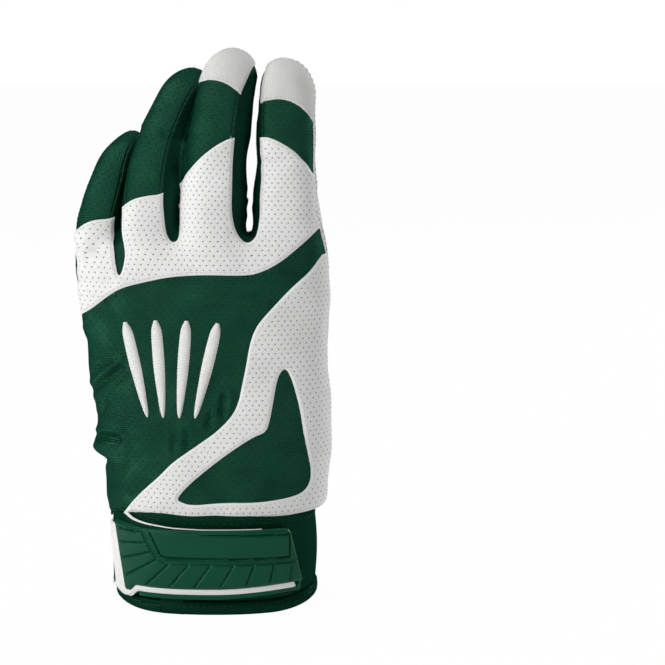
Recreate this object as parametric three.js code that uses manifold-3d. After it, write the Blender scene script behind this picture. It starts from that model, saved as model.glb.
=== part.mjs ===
// A batting glove for the left hand, standing on its cuff with the fingers up and slightly curled.
// The back of the hand faces -Y, the palm +Y, and the thumb is on the +X side. Lengths are in
// millimetres, angles in degrees. The origin is the middle of the glove's outer box, in the plane
// that the cuff stands on.
import * as THREE from "three";
import { mergeVertices } from "three/addons/utils/BufferGeometryUtils.js";
import Module from "manifold-3d";

const wasm = await Module();
wasm.setup();

// Driving dimensions
const seamGap = 0.3; // between two sewn pieces
const skin = 1.6; // leather or mesh with its lining
const overrun = 300; // how far a cutting block reaches past the glove

const cuff = { width: 79, depth: 51, height: 40, wall: 2.2, hem: 5.5, hemProud: 0.5, sideRise: 3,
  thumbSide: -0.4, littleSide: 1.2 };
const slit = { middle: -17, width: 9, gusset: 0.9 };
const hand = { width: 100, height: 120, wristDepth: 49, knuckleDepth: 31, webSlope: 0.42, webDrop: 0.2 };

// Each finger's path starts inside the hand and ends at its tip
const fingers = {
  index: { x: 27, y: 0, z: 125, rise: 92.4, lean: 1, bow: 0, curl: 13, width: 26.2, depth: 21.5 },
  middle: { x: -0.6, y: -3, z: 125, rise: 95.7, lean: 9.2, bow: 0, curl: 17, width: 26.2, depth: 22.5 },
  ring: { x: -25.6, y: -1.5, z: 120, rise: 92.8, lean: 18, bow: -2.1, curl: 29, width: 23.8, depth: 20 },
  pinky: { x: -43.4, y: 3, z: 112, rise: 75.8, lean: 11, bow: -5, curl: 22, width: 19.4, depth: 18 },
};
const thumb = { x: 27, y: 2, z: 70, rise: 110, lean: -0.5, bow: 7, curl: 27, rootWidth: 25, rootDepth: 25,
  width: 20.5, depth: 18.5 };
const tipLength = 13; // rounded end of a digit, along its path

const emblem = { bars: 4, length: 38, width: 4.6, height: 0.7, spread: 9, x: -17, low: 78, pitch: 6.3 };
const strap = { low: 7.5, high: 33.5, thickness: 1.1, tipX: 28, anchorReach: 20 };
const fastener = { thickness: 0.7, margin: 3.5, rootX: -2 };
const tab = { thickness: 1.3, tipX: 29.5, slant: 5, raised: 0.6, trim: 2.6, pads: 10, padHigh: 9, padLean: 4,
  padGap: 1.1, plateLow: 22, plateRootX: -26, plateTipX: 22.5, edge: 1.6 };

// Shapes of the forms, as shares and exponents
const roundness = 2.4; // exponent of the rounded cross sections
const curlExponent = 2.2;
const leanExponent = 2.8;
const taperShare = 0.18; // what a finger's width loses before its rounded end
const hemFlatShare = 0.55; // the middle of the hem that is straight
const backShift = 0.7; // from where the photo shows the back's outlines to where they lie, towards the thumb
const backDrop = 0.5; // and down, at the floor
const backShrink = 0.0085; // and for each millimetre above it
const viewTilt = 8; // the outlines of the back were laid out looking down at the glove by this angle

// Places of the side seams, as shares of a digit's half depth from its middle towards the palm
const backSeamShare = -0.1;
const palmSeamShare = 0.45;
const thumbSideSeamShare = -0.3;
const littleSideSeamShare = 0.35;

const webHeight = cuff.height + hand.height;

// Ranges over which shapes pass smoothly into each other, as shares
const wristEase = 0.22; // of the hand's height: below it the hand narrows to the cuff
const webEase = [0.84, 0.97]; // of the webs' height: seams pass from the hand to the fingers
const flankEase = [0.15, 0.45]; // of the thumb's width: its leather reaches round the flank
const strapEase = [0.1, 0.75]; // of a quarter turn: the strap lifts to clear its fastening

// Solids
const mergeTolerance = 1e-4;

function solid(geometry) {
  const bare = geometry.clone();
  bare.deleteAttribute("normal");
  bare.deleteAttribute("uv");
  const merged = mergeVertices(bare, mergeTolerance);
  const triVerts = new Uint32Array(merged.index.array);
  const vertProperties = new Float32Array(merged.attributes.position.array);
  const made = new wasm.Manifold(new wasm.Mesh({ numProp: 3, vertProperties, triVerts }));
  if (made.volume() > 0) return made;
  for (let i = 0; i < triVerts.length; i += 3) {
    [triVerts[i + 1], triVerts[i + 2]] = [triVerts[i + 2], triVerts[i + 1]];
  }
  return new wasm.Manifold(new wasm.Mesh({ numProp: 3, vertProperties, triVerts }));
}

const weldTolerance = 2e-3;

// The solid's faces, with corners that lie closer than the tolerance joined into one
function geometryOf(made) {
  const mesh = made.getMesh();
  const points = new Float32Array(mesh.numVert * 3);
  for (let i = 0; i < mesh.numVert; i += 1) {
    points.set(mesh.vertProperties.subarray(i * mesh.numProp, i * mesh.numProp + 3), i * 3);
  }
  const geometry = new THREE.BufferGeometry();
  geometry.setAttribute("position", new THREE.BufferAttribute(points, 3));
  geometry.setIndex(new THREE.BufferAttribute(new Uint32Array(mesh.triVerts), 1));
  const welded = mergeVertices(geometry, weldTolerance);
  const corners = welded.index.array;
  const faces = [];
  for (let i = 0; i < corners.length; i += 3) {
    const [a, b, c] = corners.subarray(i, i + 3);
    if (a !== b && b !== c && c !== a) faces.push(a, b, c);
  }
  welded.setIndex(faces);
  welded.computeVertexNormals();
  return welded;
}

const union = (solids) => solids.reduce((sum, one) => sum.add(one));
const largestOf = (solids) => solids.reduce((best, one) => (one.volume() > best.volume() ? one : best));
// The largest body left by a cut, again after its closest corners are joined
const largest = (made) => largestOf(solid(geometryOf(largestOf(made.decompose()))).decompose());

// A closed skin over rings of points that all have the same count
function loft(rings) {
  const count = rings[0].length;
  const points = rings.flat();
  const faces = [];
  for (let k = 0; k + 1 < rings.length; k += 1) {
    for (let j = 0; j < count; j += 1) {
      const a = k * count + j;
      const b = k * count + ((j + 1) % count);
      faces.push(a, b, b + count, a, b + count, a + count);
    }
  }
  const middle = (ring) => ring.reduce((sum, p) => sum.add(p), new THREE.Vector3()).divideScalar(count);
  points.push(middle(rings[0]), middle(rings.at(-1)));
  const top = (rings.length - 1) * count;
  for (let j = 0; j < count; j += 1) {
    const next = (j + 1) % count;
    faces.push(next, j, points.length - 2, top + j, top + next, points.length - 1);
  }
  const geometry = new THREE.BufferGeometry().setFromPoints(points);
  geometry.setIndex(faces);
  return solid(geometry);
}

const power = (value, exponent) => Math.sign(value) * Math.abs(value) ** exponent;
const smooth = (from, to, value) => THREE.MathUtils.smoothstep(value, from, to);
const { lerp, degToRad } = THREE.MathUtils;

// The rounded cross section that every form uses, at an angle round it
const roundX = (angle) => power(Math.cos(angle), 2 / roundness);
const roundY = (angle) => power(Math.sin(angle), 2 / roundness);
const turn = (j, count) => (2 * Math.PI * j) / count;

// Cross sections of the hand from wrist to webs: the height as a share of the hand's, then the reaches to
// the little finger, the thumb, the back and the palm as shares of its half width and half depth there
const handRowShares = [
  [0, 1.14, 1.076, 1, 1],
  [0.115, 0.993, 0.981, 0.96, 0.96],
  [0.22, 0.965, 0.905, 0.92, 0.94],
  [0.32, 0.965, 0.9, 0.92, 0.93],
  [0.42, 1.03, 0.87, 0.92, 0.93],
  [0.53, 1.035, 0.855, 0.93, 0.95],
  [0.635, 1.04, 0.885, 0.95, 0.97],
  [0.74, 1.04, 0.905, 0.98, 0.98],
  [0.83, 1.045, 0.86, 0.97, 0.93],
  [0.895, 0.99, 0.79, 0.82, 0.76],
  [0.94, 0.87, 0.68, 0.58, 0.5],
];
const handSides = 24;
const handHalfDepth = (share) => lerp(hand.wristDepth, hand.knuckleDepth, smooth(0, 0.9, share)) / 2;
const handHalfWidth = (share) => lerp(cuff.width, hand.width, smooth(0, wristEase, share)) / 2;

function handForm(inset) {
  const base = cuff.height + seamGap;
  const rings = handRowShares.map(([share, little, inner, back, palm]) => {
    const z = base + share * hand.height - inset * smooth(0.5, 0.9, share);
    const leaning = smooth(0.45, 0.95, share);
    return Array.from({ length: handSides }, (_, j) => {
      const across = roundX(turn(j, handSides));
      const deep = roundY(turn(j, handSides));
      const x = across * ((across > 0 ? inner : little) * handHalfWidth(share) - inset);
      const y = deep * ((deep > 0 ? palm : back) * handHalfDepth(share) - inset);
      return new THREE.Vector3(x, y, z + leaning * (hand.webDrop * x + hand.webSlope * y));
    });
  });
  if (inset > 0) rings.unshift(rings[0].map((p) => p.clone().setZ(base - cuff.wall)));
  return loft(rings);
}

// The middle of a digit at a share of its path
function fingerCentre(f, share) {
  const x = f.x + f.lean * share ** leanExponent + f.bow * Math.sin(Math.PI * share);
  return new THREE.Vector3(x, f.y + f.curl * share ** curlExponent, f.z + f.rise * share);
}

function thumbCentre(share) {
  const x = thumb.x + thumb.lean * share + thumb.bow * Math.sin(Math.PI * share);
  return new THREE.Vector3(x, thumb.y + thumb.curl * (1 - (1 - share) ** 2), thumb.z + thumb.rise * share);
}

// A tube round a digit's path, with a rounded end
const digitSteps = 5;
const tipSteps = 3;
const digitSides = 16;
const tipFlatShare = 0.93; // how far round the last ring of a rounded end goes

function digitForm(centre, halfWidth, halfDepth, rise, inset) {
  const tipStart = 1 - tipLength / rise;
  const rows = [];
  for (let k = 0; k <= digitSteps; k += 1) rows.push([(tipStart * k) / digitSteps, 1]);
  for (let k = 1; k <= tipSteps; k += 1) {
    const angle = (Math.PI / 2) * Math.min(k / tipSteps, tipFlatShare);
    rows.push([lerp(tipStart, 1 - inset / rise, Math.sin(angle)), Math.cos(angle)]);
  }
  return loft(rows.map(([share, round]) => {
    const along = centre(Math.min(share + 0.01, 1)).sub(centre(Math.max(share - 0.01, 0))).normalize();
    const across = new THREE.Vector3(1, 0, 0).addScaledVector(along, -along.x).normalize();
    const deep = new THREE.Vector3().crossVectors(along, across);
    const [a, b] = [(halfWidth(share) - inset) * round, (halfDepth(share) - inset) * round];
    return Array.from({ length: digitSides }, (_, j) => centre(share)
      .addScaledVector(across, a * roundX(turn(j, digitSides)))
      .addScaledVector(deep, b * roundY(turn(j, digitSides))));
  }));
}

const taper = (share) => 1 - taperShare * share * share;

function fingerForm(f, inset) {
  const halfWidth = (share) => (taper(share) * f.width) / 2;
  const halfDepth = (share) => (taper(share) * f.depth) / 2;
  return digitForm((share) => fingerCentre(f, share), halfWidth, halfDepth, f.rise, inset);
}

function thumbForm(inset) {
  const half = (root, end) => (share) => lerp(root, end, smooth(0, 0.75, share)) / 2;
  return digitForm(thumbCentre, half(thumb.rootWidth, thumb.width), half(thumb.rootDepth, thumb.depth),
    thumb.rise, inset);
}

// Cutting blocks
const point = (x, y) => new THREE.Vector2(x, y);

// A flat outline pushed through the glove from back to palm, leaning with the view by tilt
function block(outline, tilt = 0) {
  const geometry = new THREE.ExtrudeGeometry(new THREE.Shape(outline), { depth: 2 * overrun, bevelEnabled: false });
  geometry.translate(0, 0, -overrun);
  geometry.rotateX(degToRad(90 - tilt));
  return solid(geometry);
}

// The same outline moved outwards everywhere by one distance
const sharpestMiter = 0.4; // cosine of the half turn at the sharpest corner that keeps its full reach

function grown(outline, by) {
  const outward = THREE.ShapeUtils.isClockWise(outline) ? -by : by;
  return outline.map((p, i) => {
    const before = outline.at(i - 1);
    const after = outline[(i + 1) % outline.length];
    const [a, b] = [p.clone().sub(before).normalize(), after.clone().sub(p).normalize()];
    const normal = point(a.y + b.y, -a.x - b.x).normalize();
    const stretch = 1 / Math.max(normal.dot(point(a.y, -a.x)), sharpestMiter);
    return p.clone().addScaledVector(normal, outward * stretch);
  });
}

// Outlines are written as shares of the hand's width, from its middle, and of the height of the webs
const laid = (shares) => shares.map(([x, z]) => point(x * hand.width, z * webHeight));
// The back is nearer to the camera than the hand's middle, so its outlines lie a little aside of where they show
const onBack = (shares) => laid(shares).map((p) => point(p.x + backShift, p.y * (1 - backShrink) - backDrop));

// A finger's middle at a height, and the lines midway between two fingers
const fingerAt = (f, z) => fingerCentre(f, THREE.MathUtils.clamp((z - f.z) / f.rise, 0, 1));
const levelShares = [0.5, 0.85, 0.95, 1.05, 1.15, 1.25, 1.33];
const levels = levelShares.map((share) => share * webHeight);
const centreLine = (f) => levels.map((z) => point(fingerAt(f, z).x, z));
const middleLine = (f, g) => levels.map((z) => {
  const inner = fingerAt(f, z).x - f.width / 2;
  const outer = fingerAt(g, z).x + g.width / 2;
  return point((inner + outer) / 2, z);
});
const sideLine = (side) => levels.map((z) => point(side * overrun, z));

// The block between two such lines
function lane(left, right) {
  const open = (line, z) => point(line.at(z > 0 ? -1 : 0).x, z);
  return block([open(left, -overrun), ...left, open(left, overrun), open(right, overrun),
    ...right.toReversed(), open(right, -overrun)]);
}

// The block of everything behind a surface, which gives a depth for each x and z
const gridColumns = 14;
const gridRows = 13;
const gridWidthShares = [-0.66, 0.56]; // of the hand's width
const gridTopShare = 1.5; // of the webs' height

function behind(surface) {
  const spread = (k, count, low, high) => (k === 0 ? -overrun : k === count ? overrun : lerp(low, high, k / count));
  const points = [];
  const faces = [];
  const index = (side, i, k) => (side * (gridColumns + 1) + i) * (gridRows + 1) + k;
  const quad = (a, b, c, d) => faces.push(a, b, c, a, c, d);
  for (const side of [0, 1]) {
    for (let i = 0; i <= gridColumns; i += 1) {
      for (let k = 0; k <= gridRows; k += 1) {
        const x = spread(i, gridColumns, gridWidthShares[0] * hand.width, gridWidthShares[1] * hand.width);
        const z = spread(k, gridRows, 0, gridTopShare * webHeight);
        points.push(new THREE.Vector3(x, side ? surface(x, z) : -overrun, z));
      }
    }
  }
  for (let i = 0; i < gridColumns; i += 1) {
    for (let k = 0; k < gridRows; k += 1) {
      quad(index(0, i, k), index(0, i + 1, k), index(0, i + 1, k + 1), index(0, i, k + 1));
      quad(index(1, i, k), index(1, i, k + 1), index(1, i + 1, k + 1), index(1, i + 1, k));
    }
    quad(index(0, i, 0), index(1, i, 0), index(1, i + 1, 0), index(0, i + 1, 0));
    quad(index(0, i, gridRows), index(0, i + 1, gridRows), index(1, i + 1, gridRows), index(1, i, gridRows));
  }
  for (let k = 0; k < gridRows; k += 1) {
    quad(index(0, 0, k), index(0, 0, k + 1), index(1, 0, k + 1), index(1, 0, k));
    const last = gridColumns;
    quad(index(0, last, k), index(1, last, k), index(1, last, k + 1), index(0, last, k + 1));
  }
  const geometry = new THREE.BufferGeometry().setFromPoints(points);
  geometry.setIndex(faces);
  return solid(geometry);
}

// Depth of a seam at a place on the glove: shares for the fingers and both outer sides, eased into the hand
const digits = Object.values(fingers);

function seamDepth(x, z, share, thumbSideShare) {
  const reach = (f) => Math.abs(x - fingerAt(f, z).x) / f.width;
  const near = digits.reduce((best, f) => (reach(f) < reach(best) ? f : best));
  const ease = smooth(webEase[0] * webHeight, webEase[1] * webHeight, z);
  const onThumbSide = x > fingerAt(fingers.index, z).x;
  const onLittleSide = x < fingerAt(fingers.pinky, z).x;
  const outer = onLittleSide && share > 0 ? littleSideSeamShare : share;
  const used = onThumbSide ? thumbSideShare : outer;
  const handShare = onThumbSide ? thumbSideShare * ease : used;
  const handDepth = handShare * handHalfDepth((z - cuff.height) / hand.height);
  return lerp(handDepth, fingerAt(near, z).y + (used * near.depth) / 2, ease);
}

const backSeam = (x, z) => seamDepth(x, z, backSeamShare, thumbSideSeamShare);
const frontSeam = (x, z) => Math.max(seamDepth(x, z, palmSeamShare, thumbSideSeamShare), backSeam(x, z) + seamGap);
const moved = (surface, by) => (x, z) => surface(x, z) + by;

// Outlines on the back of the glove
const knuckleTopShares = [
  [0.6, 1], [0.398, 1.0625], [0.35, 1.106], [0.288, 1.14], [0.212, 1.165], [0.17, 1.1675], [0.068, 1.165],
  [0.012, 1.1475], [-0.056, 1.115], [-0.112, 1.08], [-0.142, 1.059], [-0.216, 1.025], [-0.27, 1.0225],
  [-0.332, 1.014], [-0.372, 0.996], [-0.42, 0.9675], [-0.484, 0.965], [-0.528, 0.956], [-0.572, 0.935],
  [-0.7, 0.88],
];
const knuckleLowShares = [
  [-0.7, 0.69], [-0.524, 0.7325], [-0.436, 0.77], [-0.372, 0.794], [-0.284, 0.8075], [-0.184, 0.82],
  [-0.072, 0.825], [0.116, 0.8225], [0.172, 0.83], [0.244, 0.8525], [0.316, 0.89], [0.372, 0.9225],
  [0.408, 0.95], [0.6, 0.98],
];
const sideOverlayShares = [
  [0.7, 0.96], [0.416, 0.8775], [0.372, 0.8375], [0.322, 0.81], [0.28, 0.785], [0.228, 0.75],
  [0.18, 0.7175], [0.148, 0.6875], [0.128, 0.645], [0.118, 0.605], [0.1, 0.55], [0.088, 0.51],
  [0.056, 0.4725], [0, 0.4375], [-0.084, 0.4], [-0.172, 0.3625], [-0.228, 0.326], [-0.292, 0.2925],
  [-0.364, 0.244], [-0.42, 0.2], [-0.42, 0], [0.7, 0],
];
const windowShares = [
  [0.264, 0.596], [0.284, 0.585], [0.308, 0.54], [0.332, 0.465], [0.356, 0.385], [0.372, 0.34],
  [0.368, 0.3075], [0.336, 0.2825], [0.264, 0.27], [0.156, 0.2625], [0.016, 0.2625], [-0.1, 0.255],
  [-0.148, 0.265], [-0.156, 0.2725], [-0.112, 0.305], [-0.036, 0.345], [0.056, 0.389], [0.144, 0.425],
  [0.188, 0.435], [0.204, 0.4525], [0.222, 0.5175], [0.24, 0.5725],
];
const tipShares = {
  index: [
    [0.15, 1.25], [0.2, 1.2575], [0.24, 1.261], [0.296, 1.255], [0.35, 1.231], [0.38, 1.205], [0.5, 1.13],
    [0.5, 1.6], [0.15, 1.6],
  ],
  middle: [
    [-0.3, 1.3], [-0.056, 1.305], [-0.024, 1.3075], [0.032, 1.3], [0.092, 1.2725], [0.15, 1.24],
    [0.15, 1.6], [-0.3, 1.6],
  ],
};
// Where the strips between two fingers show from the back
const slotShares = {
  index_middle: [
    [0.152, 1.365], [0.116, 1.3075], [0.092, 1.2725], [0.076, 1.2], [0.064, 1.1075], [0.06, 1.0075],
    [0.068, 0.95], [0.088, 0.9175], [0.122, 0.9], [0.154, 0.915], [0.164, 0.935], [0.172, 1.0075],
    [0.172, 1.1575], [0.17, 1.2575], [0.18, 1.3125], [0.196, 1.3475], [0.175, 1.39],
  ],
  middle_ring: [
    [-0.05, 1.345], [-0.084, 1.2775], [-0.124, 1.2], [-0.152, 1.1325], [-0.152, 1.02], [-0.144, 0.9175],
    [-0.172, 0.9025], [-0.196, 0.9225], [-0.204, 0.95], [-0.216, 1.025], [-0.188, 1.15], [-0.146, 1.2225],
    [-0.092, 1.2975], [-0.06, 1.34],
  ],
  ring_pinky: [
    [-0.31, 1.2], [-0.352, 1.1325], [-0.372, 1.08], [-0.372, 0.9325], [-0.358, 0.8825], [-0.364, 0.8475],
    [-0.38, 0.8175], [-0.396, 0.8425], [-0.408, 0.895], [-0.42, 0.9675], [-0.38, 1.0625], [-0.364, 1.1275],
    [-0.322, 1.195],
  ],
};
// The gusset beside the thumb, and the palm up to the roots of the fingers
const gussetShares = [
  [0.7, 0.76], [0.448, 0.715], [0.384, 0.6125], [0.336, 0.5125], [0.336, 0.4825], [0.384, 0.4225],
  [0.432, 0.3625], [0.42, 0.31], [0.39, 0.2525], [0.38, 0.1], [0.7, 0.1],
];
const palmShares = [
  [2, 0.9], [0.5, 0.94], [0.14, 0.985], [-0.128, 0.975], [-0.36, 0.865], [-0.66, 0.79], [-2, 0.7],
  [-2, -1], [2, -1],
];
// Seams across the thumb's nail side: their height at its root's middle, and how far they rise over its width
const thumbSeamShares = { tip: [0.936, 0.094], base: [0.748, 0.161] };
// The panel at the thumb's base narrows to a point between the palm and the gusset
const wedgeShares = [
  [0.336, 0.48], [0.228, 0.64], [0.14, 0.77], [0.14, 1], [0.55, 1], [0.52, 0.87], [0.448, 0.7175],
];
const thumbLeatherShare = 0.12; // edge of its leather, from its middle towards the nail side
const thumbFlankShare = 0.4; // how much further the leather reaches on its outer flank

// The layers of the hand
const handOuter = union([handForm(0), ...digits.map((f) => fingerForm(f, 0))]);
const handInner = union([handForm(skin), ...digits.map((f) => fingerForm(f, skin))]);
const handShell = handOuter.subtract(handInner).subtract(thumbForm(skin));
const handOuterWide = union([handForm(-seamGap), ...digits.map((f) => fingerForm(f, 0))]);

const back = behind(backSeam);
const backWide = behind(moved(backSeam, seamGap));
const palmless = behind(frontSeam);
const palmlessNarrow = behind(moved(frontSeam, -seamGap));

const knuckles = onBack([...knuckleTopShares, ...knuckleLowShares]);
const aboveKnuckles = onBack([[2, 3], [-2, 3], [-2, 0.69], ...knuckleLowShares, [2, 0.98]]);
const sideOverlay = onBack(sideOverlayShares);
const slots = Object.values(slotShares).map(onBack);
const cutBy = (outline, tilt = viewTilt) => block(outline, tilt);
const clearOf = (outline, tilt = viewTilt) => block(grown(outline, seamGap), tilt);
const slotsClear = union(slots.map((outline) => clearOf(outline)));
const backShell = handShell.intersect(back).subtract(slotsClear);
const palmShell = handShell.subtract(palmless);

const group = new THREE.Group();

function add(name, made, look) {
  const mesh = new THREE.Mesh(geometryOf(made), new THREE.MeshStandardMaterial(look));
  mesh.name = name;
  group.add(mesh);
}

const looks = {
  overlay: { color: 0xdfdfdf, roughness: 0.6 },
  leather: { color: 0xc2c1bf, roughness: 0.55 },
  mesh: { color: 0x0f392a, roughness: 0.8 },
  stretch: { color: 0x0c3124, roughness: 0.7 },
  cuff: { color: 0x113e2e, roughness: 0.85 },
  rubber: { color: 0x0f3a2a, roughness: 0.45 },
  trim: { color: 0xe8e8e6, roughness: 0.45 },
  thread: { color: 0xeeeeec, roughness: 0.5 },
};

// The back of the hand
function addBack() {
  const window = onBack(windowShares);
  add("knuckle_overlay", largest(backShell.intersect(cutBy(knuckles))), looks.overlay);
  add("side_overlay", largest(backShell.intersect(cutBy(sideOverlay)).subtract(clearOf(window))), looks.overlay);
  add("window_mesh", largest(backShell.intersect(cutBy(window))), looks.mesh);
  const rest = backShell.subtract(clearOf(aboveKnuckles)).subtract(clearOf(sideOverlay));
  add("back_mesh", largest(rest), looks.mesh);
}

// The fingers' meshes and tips at the back, and the leather in front
function addFingers() {
  const edges = [sideLine(1), ...digits.slice(1).map((f, i) => middleLine(digits[i], f)), sideLine(-1)];
  const fingerBacks = backShell.intersect(cutBy(aboveKnuckles)).subtract(clearOf(knuckles));
  const palm = laid(palmShares);
  const fronts = palmShell.subtract(clearOf(palm, 0));
  Object.keys(fingers).forEach((name, i) => {
    const own = lane(edges[i + 1], edges[i]);
    let mesh = fingerBacks.intersect(own);
    if (tipShares[name]) {
      const tip = onBack(tipShares[name]);
      add(`${name}_tip`, largest(mesh.intersect(cutBy(tip))), looks.overlay);
      mesh = mesh.subtract(clearOf(tip));
    }
    add(`${name}_mesh`, largest(mesh), looks.mesh);
    add(`${name}_leather`, largest(fronts.intersect(own)), looks.leather);
  });
  const gusset = laid(gussetShares);
  add("palm_leather", largest(palmShell.intersect(cutBy(palm, 0)).subtract(clearOf(gusset, -viewTilt))), looks.leather);
  add("thumb_gusset", largest(palmShell.intersect(cutBy(gusset, -viewTilt))), looks.mesh);
}

// The stretch strips between the fingers, and the one along the hand's outer side
function addStrips() {
  const lines = [...digits.map(centreLine), sideLine(-1)];
  const apart = (line) => line.map((p) => point(p.x - seamGap, p.y));
  Object.keys(slotShares).forEach((name, i) => {
    const sides = lane(lines[i + 1], apart(lines[i])).subtract(backWide);
    const region = sides.add(cutBy(slots[i])).intersect(palmlessNarrow);
    add(`${name}_fourchette`, largest(handShell.intersect(region)), looks.stretch);
  });
  const [, ...upper] = apart(lines.at(-2));
  const outer = lane(lines.at(-1), [point(0, levels[0]), ...upper]).subtract(backWide).subtract(slotsClear);
  add("little_side_strip", largest(handShell.intersect(outer).intersect(palmlessNarrow)), looks.mesh);
}

// The thumb: leather round its pad, with a perforated tip, a mesh and a base panel on its nail side
const seamReach = 3; // widths of the thumb that its seams' blocks reach to each side

function addThumb() {
  const shell = thumbForm(0).subtract(thumbForm(skin)).subtract(handOuterWide);
  const shareAt = (z) => THREE.MathUtils.clamp((z - thumb.z) / thumb.rise, 0, 1);
  const leatherEdge = (x, z) => {
    const centre = thumbCentre(shareAt(z));
    const flank = smooth(...flankEase, (x - centre.x) / thumb.width);
    return centre.y + thumb.depth * (thumbLeatherShare + thumbFlankShare * flank);
  };
  const nail = shell.subtract(behind(moved(leatherEdge, seamGap)));
  const seamEnd = ([share, rise], by, side) => point(thumb.x + side * thumb.width,
    (share + side * rise) * webHeight + by);
  const below = (seam, by) => block([
    seamEnd(seam, by, -seamReach), seamEnd(seam, by, seamReach),
    point(thumb.x + seamReach * thumb.width, -overrun), point(thumb.x - seamReach * thumb.width, -overrun),
  ]);
  const { tip, base } = thumbSeamShares;
  const wedge = laid(wedgeShares);
  const beside = below(base, 0).subtract(clearOf(wedge, -viewTilt));
  add("thumb_leather", largest(shell.intersect(behind(leatherEdge).add(beside))), looks.leather);
  add("thumb_tip_panel", largest(nail.subtract(below(tip, seamGap))), looks.overlay);
  add("thumb_mesh", largest(nail.intersect(below(tip, 0)).subtract(below(base, seamGap))), looks.mesh);
  const root = nail.intersect(below(base, 0));
  add("thumb_base_panel", largest(root.intersect(cutBy(wedge, -viewTilt))), looks.overlay);
}

// Padded embroidery: slim bars that fan out towards the knuckles
const barShares = [[0.06, 0.45], [0.55, 1], [0.92, 0.9], [1, 0.3]];

function addEmblem() {
  const layer = handForm(-seamGap - emblem.height).subtract(handForm(-seamGap)).intersect(back);
  for (let i = 0; i < emblem.bars; i += 1) {
    const offset = i - (emblem.bars - 1) / 2;
    const lean = degToRad(offset * emblem.spread);
    const foot = point(emblem.x + offset * emblem.pitch, emblem.low);
    const along = point(Math.sin(lean), Math.cos(lean));
    const across = point(along.y, -along.x);
    const corner = ([up, side], mirror) => foot.clone().addScaledVector(along, up * emblem.length)
      .addScaledVector(across, (mirror * side * emblem.width) / 2);
    const outline = [foot, ...barShares.map((share) => corner(share, 1)),
      ...barShares.toReversed().map((share) => corner(share, -1))];
    add(`emblem_bar_${i + 1}`, largest(layer.intersect(block(outline))), looks.thread);
  }
}

// The cuff
const cuffPoint = (angle, off) => {
  const across = Math.cos(angle);
  const out = off + Math.abs(across) ** 3 * (across > 0 ? cuff.thumbSide : cuff.littleSide);
  return point((cuff.width / 2 + out) * roundX(angle), (cuff.depth / 2 + out) * roundY(angle));
};
const cuffSides = 32;

function cuffRing(outerOff, innerOff) {
  const ring = (off) => Array.from({ length: cuffSides }, (_, j) => cuffPoint(turn(j, cuffSides), off));
  const shape = new THREE.Shape(ring(outerOff));
  shape.holes.push(new THREE.Path(ring(innerOff)));
  return solid(new THREE.ExtrudeGeometry(shape, { depth: cuff.height, bevelEnabled: false }));
}

// Everything below the hem's curve, which is straight in the middle and rises to both sides
const hemSteps = 4;

function belowHem(by) {
  const flat = (hemFlatShare * cuff.width) / 2;
  const rise = (share) => cuff.sideRise * share * share + by;
  const right = Array.from({ length: hemSteps + 1 }, (_, k) => (
    point(lerp(flat, cuff.width / 2, k / hemSteps), rise(k / hemSteps))));
  const half = [...right, point(overrun, rise(1)), point(overrun, -overrun)];
  return block([...half, ...half.toReversed().map((p) => point(-p.x, p.y))]);
}

function slitBlock(by) {
  const [low, high] = [slit.middle - slit.width / 2 - by, slit.middle + slit.width / 2 + by];
  return block([point(low, -overrun), point(high, -overrun), point(high, overrun), point(low, overrun)])
    .intersect(behind(() => 0));
}

function addCuff() {
  const open = slitBlock(0);
  const wall = cuffRing(0, -cuff.wall).subtract(open);
  const hem = cuffRing(cuff.hemProud, -cuff.wall).subtract(open);
  const gussetRing = cuffRing(-(cuff.wall - slit.gusset) / 2, -(cuff.wall + slit.gusset) / 2);
  add("cuff_band", wall.subtract(belowHem(cuff.hem + seamGap)), looks.cuff);
  add("cuff_hem", hem.intersect(belowHem(cuff.hem)).subtract(belowHem(0)), looks.cuff);
  add("slit_gusset", largest(gussetRing.intersect(slitBlock(-seamGap)).subtract(belowHem(0))), looks.stretch);
}

// The strap's layers follow the cuff's back, from an angle near the little finger's side
const rootAngle = degToRad(188);
const angleAt = (x) => 2 * Math.PI - Math.acos(power(x / (cuff.width / 2), roundness / 2));
const fastened = 2 * (seamGap + fastener.thickness);
const strapLift = (angle) => seamGap + cuff.hemProud
  + (fastened - cuff.hemProud) * smooth(...strapEase, (angle - rootAngle) / (Math.PI / 2));
const flatLift = (off) => () => off;
const wrapSteps = 14;

// A layer between two distances above its lift from the cuff, between two angles and two heights
function wrap([from, to], [low, high], [inner, outer], lift = strapLift) {
  const edge = (off) => Array.from({ length: wrapSteps + 1 }, (_, j) => {
    const angle = lerp(from, to, j / wrapSteps);
    return cuffPoint(angle, lift(angle) + off);
  });
  const shape = new THREE.Shape([...edge(inner), ...edge(outer).toReversed()]);
  const geometry = new THREE.ExtrudeGeometry(shape, { depth: high - low, bevelEnabled: false });
  return solid(geometry.translate(0, 0, low));
}

const patchHeights = [strap.low + fastener.margin, strap.high - fastener.margin];
const patchAngles = [angleAt(fastener.rootX), angleAt(strap.tipX - fastener.margin)];

function addFixedFastening() {
  const patch = wrap(patchAngles, patchHeights, [0, fastener.thickness], flatLift(seamGap));
  add("loop_patch", patch, looks.mesh);
  const anchorEnd = rootAngle - seamGap / (cuff.width / 2);
  const anchorStart = anchorEnd - strap.anchorReach / (cuff.width / 2);
  const anchor = wrap([anchorStart, anchorEnd], [strap.low, strap.high], [0, strap.thickness], strapLift);
  add("strap_anchor", anchor, looks.cuff);
}

function addStrap() {
  const angles = [rootAngle, angleAt(strap.tipX)];
  add("strap_band", wrap(angles, [strap.low, strap.high], [0, strap.thickness]), looks.cuff);
  const hookLift = flatLift(2 * seamGap + fastener.thickness);
  add("hook_patch", wrap(patchAngles, patchHeights, [0, fastener.thickness], hookLift), looks.mesh);
}

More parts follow.
